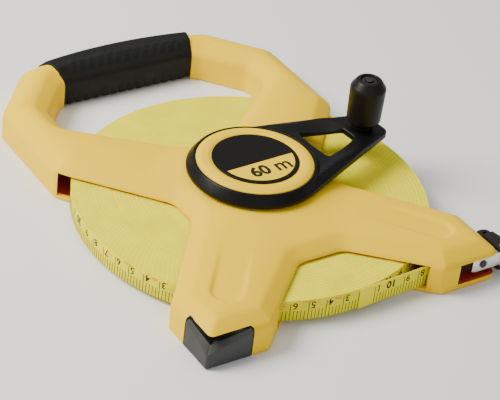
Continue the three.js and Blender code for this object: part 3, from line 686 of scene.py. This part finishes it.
def makeFrontShell():
    thing = newObject("front_shell_skin", planSolid(framePlans, shellRings, topPoints(), shapeTop, least=2.0))
    inset, below, above = shell["wall"], -5, 60
    hollow = [(inset, below), (inset, 13), (inset + 4.6, 20.6), (inset + 5, 20.8)]
    combine(thing, planSolid(framePlans, hollow, least=0.5))
    combine(thing, rodSolid(shell["windowRadius"], shell["sill"], shell["windowTop"], sides=256))
    combine(thing, rodSolid(shell["windowRadius"] - 12, below, shell["windowTop"], sides=256))
    combine(thing, rodSolid(shell["neckRadius"], below, above))
    sleeve = newObject("sleeve", gripCut(shell["gap"]))
    bar = [(2.2, shellLow[2]), (2.2, 14), (6.4, 21.6), (8, 22)]
    combine(sleeve, planSolid(framePlans, bar))
    combine(thing, sleeve)
    openMouth(thing)
    combine(thing, footPocket(shell["pocketTop"]))
    finishPiece(thing, paint["frameYellow"], "frame", ["front_shell"], sharp=32)
    # the inner faces are painted dark red as painted shade for the shadowed hollows, and the pocket takes the
    # bumper's dark rubber as painted shade under the yellow corner
    mesh = thing.data
    mesh.materials.append(paint["innerShadeRed"])
    mesh.materials.append(paint["bumperGrey"])
    centres = np.zeros(len(mesh.polygons) * 3)
    mesh.polygons.foreach_get("center", centres)
    centres = centres.reshape(-1, 3) / mm
    depth = distanceTo(centres[:, :2], outlines)
    skin = np.interp(depth, shoulder[:, 0], shoulder[:, 1]) - 1.2
    shadedInside = (depth > inset - 0.15) & (centres[:, 2] < skin)
    across, up = shell["pocketRight"] - shell["halfWidth"], shell["pocketUp"] - shell["foot"]
    # the pocket's faces take the bumper's dark rubber, painted shade for the shadow under the yellow corner
    shadedPocket = (centres < np.array([across, up, shell["pocketTop"]]) + 0.02).all(1)
    mesh.polygons.foreach_set("material_index", np.where(shadedPocket, 2, shadedInside.astype(np.int32)))


makeFrontShell()
print("front shell made")


def makeBackShell():
    inset = shell["wall"] + shell["gap"]
    rings = [(inset + 0.5, 0.3), (inset, 0.7), (inset, 1.9)]
    thing = newObject("back_shell_skin", planSolid(framePlans, rings, least=1.0))
    combine(thing, gripCut(shell["gap"]))
    combine(thing, footPocket(5))
    for number in range(1, 7):  # a boss, a sunk seat and a bore for each case screw
        low, high = boxOf("case_screw_%d" % number)
        x, y = (low + high)[:2] / 2
        combine(thing, rodSolid(4.9, 0.6, 5.0, x, y, 48), "UNION")
        combine(thing, rodSolid(3.3, -1, 2.8, x, y, 48))
        combine(thing, rodSolid(1.8, -1, 9, x, y, 32))
    for number in range(1, 4):  # the spindle's rivets
        low, high = boxOf("spindle_rivet_%d" % number)
        x, y = (low + high)[:2] / 2
        combine(thing, rodSolid(2.5, -1, 1.1, x, y, 32))
        combine(thing, rodSolid(1.5, -1, 9, x, y, 24))
    for ring in (22.0, 29.0, 36.0):  # shallow moulded rings round the axis on the outside of the back
        combine(thing, latheSolid([(ring, -1), (ring + 1.2, -1), (ring + 1.2, 0.65), (ring, 0.65)], 128))
    finishPiece(thing, paint["frameYellow"], "frame", ["back_shell"], sharp=32)
    mesh = thing.data
    mesh.materials.append(paint["innerShadeRed"])
    # upward inner faces of the back shell are painted dark red: painted shade for the shadowed inside
    for face in mesh.polygons:
        face.material_index = int(face.normal.z > 0.9 and face.center.z > 1.8 * mm)


makeBackShell()
print("back shell made")


# ---- hand grip: a rounded section carried along the bowed bar, ribbed at its edges
grip = dict(
    width=29.0,
    low=0.15,
    high=24.3,
    side=17.3,  # height of its sides, where the sloping shoulders begin
    slope=9.0,
    cornerTop=5.0,
    cornerLow=3.0,
    stations=181,
    pitch=6.6,
    groove=0.6,
    sharpness=3.0,
    pad=0.3,
    padRow=0.11,
    padReach=40.0,
    proud=0.5,
    endRound=0.9,
)


def makeGrip():
    # point = section(v) stretched between the bar's straight inner side and bowed outer side at x,
    # drawn in along the section's own normal by grooves that repeat along the bar
    low, high, half = grip["low"], grip["high"], shell["gripHalf"]
    width, side, slope = grip["width"], grip["side"], grip["slope"]
    section = roundedLine(
        [
            (0, low, grip["cornerLow"]),
            (width, low, grip["cornerLow"]),
            (width, side, grip["cornerTop"]),
            (width - slope, high, grip["cornerTop"]),
            (slope, high, grip["cornerTop"]),
            (0, side, grip["cornerTop"]),
        ],
        arcPoints=12,
        step=1.1,
    )
    ahead = np.roll(section, -1, 0) - np.roll(section, 1, 0)
    normal = np.stack([ahead[:, 1], -ahead[:, 0]], 1) / np.linalg.norm(ahead, axis=1)[:, None]
    share, height = section[:, 0] / width, section[:, 1]
    u = np.linspace(-1, 1, grip["stations"])[:, None]
    along = u * half
    outer = shell["top"] - shell["bowDrop"] * (along / shell["bowEnd"]) ** 2
    y = shell["handTop"] + share * (outer - shell["handTop"])
    x = along + (y - shell["gripMiddle"]) * shell["gripSlope"] * u
    beat = np.cos(2 * math.pi * along / grip["pitch"])
    # grooves on the outer shoulder and round the lower inner edge
    ribbed = np.maximum(smooth(share, 0.72, 0.9), 1 - smooth(height, 4.5, 9.0))
    draw = -grip["groove"] * (0.5 + 0.5 * beat) ** grip["sharpness"] * ribbed
    # two rows of small pads along the crease that the thumb rests on
    crease = smooth(height, high - 6.5, high - 5.0)
    reach = 1 - smooth(np.abs(along), grip["padReach"], grip["padReach"] + 1)
    for start, sign in ((0.14, 1), (0.30, -1)):
        end = start + grip["padRow"]
        row = crease * smooth(share, start, start + 0.03) * (1 - smooth(share, end, end + 0.03))
        draw = draw + grip["pad"] * reach * row * smooth(sign * beat, -0.35, 0.1)
    draw = draw - grip["proud"] * smooth(np.abs(along), half - grip["endRound"], half)
    grid = np.stack([x, y + normal[:, 0] * draw, height + normal[:, 1] * draw], -1)
    thing = newObject("grip_sleeve", tubeSolid(grid))
    finishPiece(thing, paint["gripRubber"], "frame", ["hand_grip"], sharp=50)


makeGrip()
print("grip made")


# ---- rubber bumper on the left foot: a profile carried round the corner
bumper = dict(
    left=21.7,
    along=26.7,
    cornerRound=1.2,
    cornerHigh=8.9,
    endHigh=15.9,
    band=4.0,
    bandRise=2.7,
    endLoss=0.13,
    floor=2.2,
    deep=14.0,
)


def makeBumper():
    # the path runs down the side wall, round the corner and along the foot edge; each row is that path
    # moved in by its inset, at a height that is lowest at the corner and rises towards both ends
    side, foot, band, deep = shell["halfWidth"], shell["foot"], bumper["band"], bumper["deep"]
    left, along = bumper["left"], bumper["along"]
    path = [(-side, left - foot), (-side, -foot, bumper["cornerRound"]), (along - side, -foot)]

    def pathAt(inset):
        return roundedLine(path, inset, False, 7, 1.2)

    away = pathAt(0) + [side, foot]
    share = np.clip((away / [along, left]).max(1), 0, 1)
    edge = bumper["cornerHigh"] + (bumper["endHigh"] - bumper["cornerHigh"]) * share
    top = edge + bumper["bandRise"] * (1 - bumper["endLoss"] * share)
    sunk = top - 0.3 - bumper["floor"] * (1 - share)
    base = np.zeros(len(edge))
    rows = [(0.6, base + 0.1), (0, base + 0.7), (0, edge * 0.5), (0, edge - 0.35), (0.25, edge + 0.05)]
    rows += [(band, top), (band + 0.3, top - 0.1), (band + 0.5, top - 0.2), (band + 1.0, sunk)]
    rows += [(deep, sunk), (deep, base + 0.1)]
    stations = []
    for inset, height in rows:  # the band narrows towards the ends, where it runs in under the shell
        line = pathAt(inset)
        if 0.2 < inset < deep:
            line = line + (pathAt(min(inset, inset * 0.6 + 0.2)) - line) * (share**1.2)[:, None]
        stations.append(np.column_stack([line, height]))
    thing = newObject("foot_bumper", tubeSolid(np.stack(stations, 1)))
    finishPiece(thing, paint["bumperGrey"], "frame", ["corner_bumper"], sharp=22)


makeBumper()
print("bumper made")


# ---- wound tape
coil = dict(turn=0.5, unevenness=0.055, drift=0.09, sides=288, inner=boxOf("spool_hub")[1][0] + 0.3)


def makeCoil():
    # every turn stands at its own height, and the whole face drifts slowly up and down
    radii = np.arange(coil["inner"], coilRadius - 0.2, coil["turn"])
    level = rng.normal(0, coil["unevenness"], len(radii))
    level = np.clip(level, -0.14, 0.1) - 0.02 - 0.05 * (np.arange(len(radii)) % 2)
    face = np.column_stack([radii, tapeHigh + level])
    rim = [
        (coilRadius - 0.15, tapeHigh - 0.02),
        (coilRadius, tapeHigh - 0.2),
        (coilRadius, tapeLow + 0.2),
        (coilRadius - 0.15, tapeLow),
        (coil["inner"], tapeLow),
    ]
    profile = np.vstack([face, rim])
    onFace = len(face)

    def wobble(radius, height, angle):
        slow = np.sin(2 * angle + radius / 9) + 0.6 * np.sin(5 * angle - radius / 5)
        shift = np.zeros_like(height)
        shift[1:onFace] = (coil["drift"] * 0.5 * (slow - 1.2))[1:onFace]
        return radius, height + shift

    thing = newObject("wound_tape", latheSolid(profile, coil["sides"], wobble=wobble))
    finishPiece(thing, paint["coil"], "spool", ["tape_coil"], sharp=40)


makeCoil()
print("coil made")


# ---- printed scale: ticks, figures and a red mark, as thin raised ink
scale = dict(
    tickWide=0.36,
    tickHigh=5.9,
    centimetreHigh=10.6,
    figureHigh=4.3,
    boldHigh=4.9,
    figureY=8.9,
    figureShift=2.5,
    boldShift=0.4,
    rise=0.25,  # from the tape's lower edge up to the ticks
    thick=0.06,
    phase=-93.2,  # where on the coil the centimetre phaseNumber stands, in degrees
    phaseNumber=13,
    lastNumber=61,
)


def letterSolid(words, height, weight=0.0, thick=0.05):
    # raised letters centred on the origin, lying in x and y
    curve = bpy.data.curves.new("letters", "FONT")
    curve.body = words
    curve.extrude = 0.5
    curve.offset = weight
    curve.resolution_u = 3
    thing = bpy.data.objects.new("letters", curve)
    bpy.context.scene.collection.objects.link(thing)
    view = bpy.context.evaluated_depsgraph_get()
    mesh = bpy.data.meshes.new_from_object(thing.evaluated_get(view))
    spots = np.zeros(len(mesh.vertices) * 3)
    mesh.vertices.foreach_get("co", spots)
    spots = spots.reshape(-1, 3)
    faces = [list(face.vertices) for face in mesh.polygons]
    bpy.data.objects.remove(thing)
    low, high = spots.min(0), spots.max(0)
    spots = spots - (low + high) / 2
    spots[:, :2] *= height / (high[1] - low[1])
    spots[:, 2] = np.sign(spots[:, 2]) * thick / 2
    return spots, faces


figures = {name: letterSolid(name, scale["figureHigh"], 0.012) for name in "123456789"}
for number in range(10, 61, 10):
    figures[str(number)] = letterSolid(str(number), scale["boldHigh"], 0.035)


def printedBlock(x0, x1, y0, y1):
    half = scale["thick"] / 2
    return blockSolid((x0, y0, -half), (x1, y1, half))


def tickSolid(x, high):
    return printedBlock(x - scale["tickWide"] / 2, x + scale["tickWide"] / 2, 0.0, high)


def scaleSolids(numbers, where):
    # x runs to the viewer's right along the tape, y up its width; figures stand on their heads
    solids = []
    for number in numbers:
        x, unit = where(number), number % 10
        solids.append(tickSolid(x, scale["centimetreHigh"] if unit else scale["tickHigh"]))
        solids += [tickSolid(x + 2.0 * k, scale["tickHigh"]) for k in range(1, 5)]
        spots, faces = figures[str(unit or number)]
        shift = scale["figureShift"] if unit else scale["boldShift"]
        solids.append((spots * [-1, -1, 1] + [x + shift, scale["figureY"], 0], faces))
    return joined(solids)


def redSolids(numbers, where):
    # once every ten centimetres: the tape's length in an open box, a ring with a bar, and a row of dashes
    words, faces = letterSolid("60m", 1.7, 0.02)
    half = scale["thick"] / 2
    ring, ringFaces = latheSolid([(1.75, -half), (2.0, -half), (2.0, half), (1.75, half)], 20)
    solids = []
    for number in numbers:
        x, unit = where(number), number % 10
        if unit == 3:
            solids.append((words * [-1, -1, 1] + [x - 3.6, 10.3, 0], faces))
            for x0, x1, y0, y1 in ((-7.8, 0.6, 8.9, 9.1), (-7.8, 0.6, 11.6, 11.8), (-7.8, -7.6, 8.9, 11.8)):
                solids.append(printedBlock(x + x0, x + x1, y0, y1))
        if unit == 7:
            solids.append((ring + [x + 4.9, 9.2, 0], ringFaces))
            solids.append(printedBlock(x + 3.4, x + 6.4, 9.1, 9.3))
        if unit == 5:
            solids += [printedBlock(x - 3.6 + 0.9 * k, x - 3.2 + 0.9 * k, 10.6, 11.9) for k in range(7)]
    return joined(solids)


def ontoCoil(solid):
    # x becomes an arc round the coil, y a height, z a little more radius
    spots, faces = solid
    angle = math.radians(scale["phase"]) + spots[:, 0] / coilRadius
    radius = coilRadius + 0.02 + spots[:, 2]
    height = tapeLow + scale["rise"] + spots[:, 1]
    return np.column_stack([radius * np.cos(angle), radius * np.sin(angle), height]), faces


def coilPlace(number):
    return (scale["phaseNumber"] - number) * 10.0


coilNumbers = range(1, scale["lastNumber"] + 1)
ink = newObject("coil_figures", ontoCoil(scaleSolids(coilNumbers, coilPlace)))
finishPiece(ink, paint["inkBlack"], "spool", sharp=30)
red = newObject("coil_marks", ontoCoil(redSolids(coilNumbers, coilPlace)))
finishPiece(red, paint["inkRed"], "spool", sharp=30)
print("scale printed on the coil")


# ---- straight stretch of tape from the coil into the arm, and the end that slides out
lead = dict(turn=3.0, start=-1.0, end=54.0, clear=0.4, thick=0.45, shift=10.8, numbers=(11, 10, 9, 8))


def makeLead():
    # a thin strip that leaves the coil along a tangent, turned a little towards the arm
    face = -coilRadius - lead["clear"]
    x, z = np.linspace(lead["start"], lead["end"], 56), np.linspace(tapeLow, tapeHigh, 8)
    xs, zs = np.meshgrid(x, z, indexing="ij")
    inner, outer = (np.stack([xs, np.full(xs.shape, y), zs], -1) for y in (face, face - lead["thick"]))
    spots, faces = tubeSolid(np.concatenate([outer, inner[:, ::-1]], 1))
    strip = newObject("tape_run", (turnedBy(spots, lead["turn"]), faces))
    finishPiece(strip, paint["tapeYellow"], "frame", ["tape_lead"], sharp=40)
    spots, faces = scaleSolids(lead["numbers"], lambda number: coilPlace(number) - lead["shift"])
    flat = [spots[:, 0], face - lead["thick"] - 0.02 - spots[:, 2], tapeLow + scale["rise"] + spots[:, 1]]
    run = newObject("run_figures", (turnedBy(np.column_stack(flat), lead["turn"]), faces))
    finishPiece(run, paint["inkBlack"], "frame", sharp=30)


makeLead()


tapeEnd = dict(start=11.0, bend=12.0, inward=6.2)


def makeTapeEnd():
    # the strip narrows behind the metal strap and bends inward to the pin it runs round;
    # inside the mouth it is painted dark brown, painted shade for the mouth's shadowed inside
    low, high = boxOf("tape_end_strip")
    strap = boxOf("end_strap")[0]
    bend, start = strap[0] - tapeEnd["bend"], low[0] + tapeEnd["start"]
    x = np.linspace(start, high[0], 60)
    outer = low[1] + 0.1 + tapeEnd["inward"] * (1 - smooth(x, bend, strap[0] + 4))
    clear = shell["sill"] + 1.4
    lower = clear + (strap[2] + 0.3 - clear) * smooth(x, bend + 6, strap[0])
    share = np.linspace(0, 1, 4)
    heights = lower[:, None] + (tapeHigh - lower[:, None]) * share
    places = np.repeat(x[:, None], len(share), 1)
    depths = np.repeat(outer[:, None], len(share), 1)
    near, far = (np.stack([places, depths + depth, heights], -1) for depth in (0.0, 0.4))
    strip = newObject("tape_end", tubeSolid(np.concatenate([near, far[:, ::-1]], 1)))
    finishPiece(strip, paint["tapeYellow"], "tape_end", ["tape_end_strip"], sharp=40)
    strip.data.materials.append(paint["mouthShadeBrown"])
    for face in strip.data.polygons:
        face.material_index = int(face.center.x < (strap[0] + 2) * mm)


makeTapeEnd()
print("tape run made")


# ---- crank: a bevelled ring with a two-legged arm
crank = dict(
    turn=6.0,
    low=29.0,
    ring=38.0,
    ringHigh=7.0,
    rim=2.0,
    cap=33.0,
    neck=17.0,
    neckDeep=6.9,
    reach=79.0,
    tip=90.5,
    tipHalf=13.5,
    armHigh=4.5,
    leg=11.8,
    slope=2.9,
    windowNear=42.0,
    windowFar=69.0,
    boss=5.3,
)


def crankPlans():
    # the arm's outline tapers from the ring to the knob, and the window keeps a leg's width inside it
    slope = math.asin((crank["ring"] - crank["tipHalf"]) / crank["reach"])
    meet = crank["ring"] / math.sin(slope)

    def half(x, inset=0.0):
        return (meet - x) * math.tan(slope) - inset / math.cos(slope)

    tangent = (crank["ring"] * math.sin(slope), crank["ring"] * math.cos(slope))
    tip, near, far, leg = crank["tip"], crank["windowNear"], crank["windowFar"], crank["leg"]
    outer = [(0, 0), (tangent[0], -tangent[1]), (tip, -half(tip), 5.0), (tip, half(tip), 5.0), tangent]
    below = [(far, -half(far, leg), 1.6), (near, -half(near, leg), 2.0)]
    hole = below + [(near - 0.8, 0, 40)] + [(x, -y, r) for x, y, r in below[::-1]]
    return outer, hole, half


def makeCrank():
    outer, hole, half = crankPlans()
    low, high = crank["low"], crank["low"] + crank["armHigh"]
    rings = [(0.5, low), (0.12, low + 0.12), (0, low + 0.5)]
    rings += [(0, high - 0.8), (0.25, high - 0.25), (0.8, high)]

    def lean(verts):
        # each leg's top falls towards the window, and levels out round the knob
        out = verts.copy()
        inward = np.clip((half(verts[:, 0]) - np.abs(verts[:, 1])) * 0.94 / crank["leg"], 0, 1.1)
        level = 1 - smooth(verts[:, 0], 63.0, 72.0)
        share = (verts[:, 2] - low) / (high - low)
        out[:, 2] -= crank["slope"] * smooth(inward, 0.02, 1.0) ** 0.8 * level * share
        out[:, 2] -= 0.5 * (1 - level) * share
        # near the ring the legs rise to its top and take over its sloping rim
        radius = np.hypot(verts[:, 0], verts[:, 1])
        out[:, 2] += 2.5 * share * (1 - smooth(radius, 38.0, 62.0))
        edge = np.clip(1 - inward * crank["leg"] / 4.2, 0, 1)
        out[:, 2] -= 4.7 * share * edge * (1 - smooth(verts[:, 0], 14.0, 66.0))
        return out

    x, y = np.meshgrid(np.arange(3, 90, 1.6), np.arange(-38, 38.1, 1.6))
    grid = np.column_stack([x.ravel(), y.ravel()])
    edges = [roundedLine(outer, 0.8), roundedLine(hole, 0.8)]
    grid = grid[insideOf(grid, edges)]
    grid = grid[distanceTo(grid, edges) > 0.7]
    arm = planSolid([outer, hole], rings, grid, lean, step=2.0)
    top, foot, cap = low + crank["ringHigh"], low - crank["neckDeep"], crank["cap"]
    profile = roundedLine(
        [
            (crank["neck"] - 8, foot),
            (crank["neck"], foot, 0.3),
            (crank["neck"], low, 0.6),
            (crank["ring"] - 0.1, low, 0.5),
            (crank["ring"], low + crank["rim"], 1.1),
            (cap + 1.3, top, 1.3),
            (cap + 0.3, top, 0.3),
            (cap + 0.3, low + 2.3, 0.3),
            (crank["neck"] - 8, low + 2.3),
        ],
        arcPoints=7,
        step=3.0,
    )
    thing = newObject("crank_arm", arm)
    combine(thing, rodSolid(cap + 0.6, 0, 60))
    combine(thing, latheSolid(profile, 160), "UNION")
    combine(thing, rodSolid(2.9, 0, 60, crank["reach"], 0, 48))
    combine(thing, rodSolid(crank["boss"], 0, low + 1.4, crank["reach"], 0, 48))
    for number in range(1, 4):
        lowBox, highBox = boxOf("crank_screw_%d" % number)
        x, y = (lowBox + highBox)[:2] / 2
        x, y = turnedBy(np.array([[x, y, 0.0]]), -crank["turn"])[0][:2]
        combine(thing, rodSolid(1.6, 0, 60, x, y, 32))
    thing.data.transform(Matrix.Rotation(math.radians(crank["turn"]), 4, "Z"))
    finishPiece(thing, paint["crankBlack"], "spool", ["crank"], sharp=32)


makeCrank()
print("crank made")

# ---- knob: turned about its own pin
knob = dict(radius=10.4, neck=6.6, bore=3.0, dish=4.8)


def makeKnob():
    lowest, highest = boxOf("knob")
    centre = (lowest + highest)[:2] / 2
    low, high, wide = lowest[2], highest[2], knob["radius"]
    profile = roundedLine(
        [
            (knob["bore"], low),
            (knob["neck"], low, 0.4),
            (knob["neck"], low + 2.4, 0.6),
            (wide - 0.5, low + 5.6, 1.4),
            (wide, high - 5.2, 3.5),
            (wide - 3.2, high - 0.6, 3.0),
            (knob["dish"] + 0.4, high, 0.6),
            (knob["dish"] - 0.3, high - 1.9, 0.5),
            (knob["bore"], high - 2.0),
        ],
        arcPoints=9,
        step=2.0,
    )
    thing = newObject("knob_body", latheSolid(profile, 96, centre))
    finishPiece(thing, paint["knobBlack"], "knob", ["knob"], sharp=40)


makeKnob()
print("knob made")

# ---- yellow hub cap and its label
cap = dict(
    radius=33.0,
    low=31.6,
    edge=35.7,
    crown=37.1,
    crownAt=28.6,
    seat=36.3,
    label=24.4,
    labelThick=0.75,
    segment=21.9,
    chord=-4.2,
    tilt=2.0,
    words=(("60", 9.4, 0.035, -4.9, -11.6), ("m", 6.8, 0.015, 9.9, -12.8)),
)


def makeCap():
    profile = roundedLine(
        [
            (0, cap["low"]),
            (cap["radius"], cap["low"], 0.3),
            (cap["radius"], cap["edge"], 1.2),
            (cap["crownAt"] + 1.5, cap["crown"], 5.0),
            (cap["crownAt"] - 2.4, cap["crown"] - 0.1, 3.0),
            (cap["label"] + 0.35, cap["seat"], 0.3),
            (0, cap["seat"]),
        ],
        arcPoints=9,
        step=3.0,
    )
    thing = newObject("cap_disc", latheSolid(profile, 160))
    finishPiece(thing, paint["frameYellow"], "spool", ["hub_cap"], sharp=40)
    top, seat, label = cap["seat"] + cap["labelThick"], cap["seat"] + 0.05, cap["label"]
    face = [(0, seat), (label, seat), (label, top - 0.25), (label - 0.3, top), (0, top)]
    disc = newObject("label_disc", latheSolid(face, 128))
    finishPiece(disc, paint["labelBlack"], "spool", ["hub_label"], sharp=25)
    # lower part of the label: a segment of a circle under a straight line
    wide = cap["segment"]
    start = math.asin(cap["chord"] / wide)
    angle = np.linspace(math.pi - start, 2 * math.pi + start, 60)
    plan = [(wide * math.cos(a), wide * math.sin(a)) for a in angle]
    verts, faces = planSolid([plan], [(0, top - 0.1), (0, top + 0.06), (0.06, top + 0.09)], step=50)
    patch = newObject("label_segment", (turnedBy(verts, cap["tilt"]), faces))
    finishPiece(patch, paint["labelYellow"], "spool", sharp=25)
    words = []
    for text, high, weight, x, y in cap["words"]:
        spots, sides = letterSolid(text, high, weight, 0.12)
        words.append((spots + [x, y, top + 0.11], sides))
    verts, faces = joined(words)
    length = newObject("label_length", (turnedBy(verts, cap["tilt"]), faces))
    finishPiece(length, paint["inkBlack"], "spool", sharp=25)


makeCap()
print("hub cap made")

# ---- metal end of the tape, its rivet and the hook
for node, name, material, body, slotName, width in (
    ("end_strap", "strap", "strapSilver", "tape_end", "strap_metal", 0.22),
    ("hook_pin", "pin_of_hook", "steel", "tape_end", "steel", 0.2),
    ("hook_body", "hook_arm", "hookBlack", "hook", "hook_plastic", 0.5),
    ("hook_claw", "hook_point", "strapSilver", "hook", "strap_metal", 0.2),
    ("strap_rivet", "rivet", "rivetDark", "tape_end", "rivet_dark", 0.25),
):
    finishPiece(cadCopy(node, name), paint[material], body, [node], bevel=width, segments=3)

# ---- fasteners and inner pieces keep their CAD shape
carried = dict.fromkeys(("spindle", "retainer_washer", "retainer_screw", "guide_pin"), "steel")
carried.update(spool_hub="hubIvory", knob_pin="rivetDark", knob_retainer="rivetDark")
for name in nodes:
    if name.startswith(("case_screw", "crank_screw", "spindle_rivet")):
        carried[name] = "steel"
for name, material in carried.items():
    node = nodes[name]
    node.data.materials.clear()
    node.data.materials.append(paint[material])
print("fasteners finished")

# ---- floor, light and camera
studio = dict(
    floor=(0.89, 0.91, 0.98),
    warmth=(1.0, 0.95, 0.80),
    sky=(1.0, 1.0, 1.0),
    skyPower=0.42,
    keyPower=30.0,
    keySize=0.8,
    fillPower=2.0,
    fillSize=1.2,
    topPower=4.0,
    topSize=1.1,
)


def makeFloor():
    half = 6000.0
    thing = newObject("floor", blockSolid((-half, -half, -60), (half, half, -0.3)))
    material, tree, shader, place = newMaterial("floorPaper")
    tone = mixNode(tree, noiseNode(tree, place, 3, 2), np.array(studio["floor"]) * 0.985, studio["floor"])
    tree.links.new(tone, shader.inputs["Base Color"])
    shader.inputs["Roughness"].default_value = 0.8
    shader.inputs["Specular IOR Level"].default_value = 0.1
    thing.data.materials.append(material)


def areaLight(name, spot, power, size):
    target = Vector((0, 0.03, 0.01))
    light = bpy.data.lights.new(name, "AREA")
    light.energy = power
    light.color = studio["warmth"]
    light.shape = "DISK"
    light.size = size
    thing = bpy.data.objects.new(name, light)
    bpy.context.scene.collection.objects.link(thing)
    thing.location = spot
    thing.rotation_euler = (target - spot).to_track_quat("-Z", "Y").to_euler()


viewpoint = dict(
    turn=36.5,
    elevation=34.2,
    roll=7.42,
    away=1.022,
    side=-0.00007,
    up=0.00526,
    base=0.0026,
    lens=131.4,
    sensor=36.0,
)
turn, rise, roll = (math.radians(viewpoint[key]) for key in ("turn", "elevation", "roll"))
forward = Vector((math.sin(turn) * math.cos(rise), math.cos(turn) * math.cos(rise), -math.sin(rise)))
rightward = Vector((math.cos(turn), -math.sin(turn), 0))
upward = rightward.cross(forward)


def makeCamera():
    lens = bpy.data.cameras.new("camera")
    lens.lens = viewpoint["lens"]
    lens.sensor_width = viewpoint["sensor"]
    thing = bpy.data.objects.new("camera", lens)
    bpy.context.scene.collection.objects.link(thing)
    spot = rightward * viewpoint["side"] + upward * viewpoint["up"] - forward * viewpoint["away"]
    spot.z += viewpoint["base"]
    across = rightward * math.cos(roll) + upward * math.sin(roll)
    over = upward * math.cos(roll) - rightward * math.sin(roll)
    axes = Matrix((across, over, -forward)).transposed().to_4x4()
    thing.matrix_world = Matrix.Translation(spot) @ axes
    bpy.context.scene.camera = thing


makeFloor()
makeCamera()
level = Vector((forward.x, forward.y, 0)).normalized()
overhead = Vector((0, 0, 1))
areaLight("key", overhead - rightward * 0.95 - level * 0.1, studio["keyPower"], studio["keySize"])
areaLight("fill", overhead * 0.7 + rightward * 0.5 - level * 1.2, studio["fillPower"], studio["fillSize"])
areaLight("over", overhead * 1.3 + level * 0.5, studio["topPower"], studio["topSize"])
world = bpy.data.worlds.new("studio")
world.use_nodes = True
world.node_tree.nodes["Background"].inputs["Color"].default_value = (*studio["sky"], 1)
world.node_tree.nodes["Background"].inputs["Strength"].default_value = studio["skyPower"]
bpy.context.scene.world = world
print("studio made")
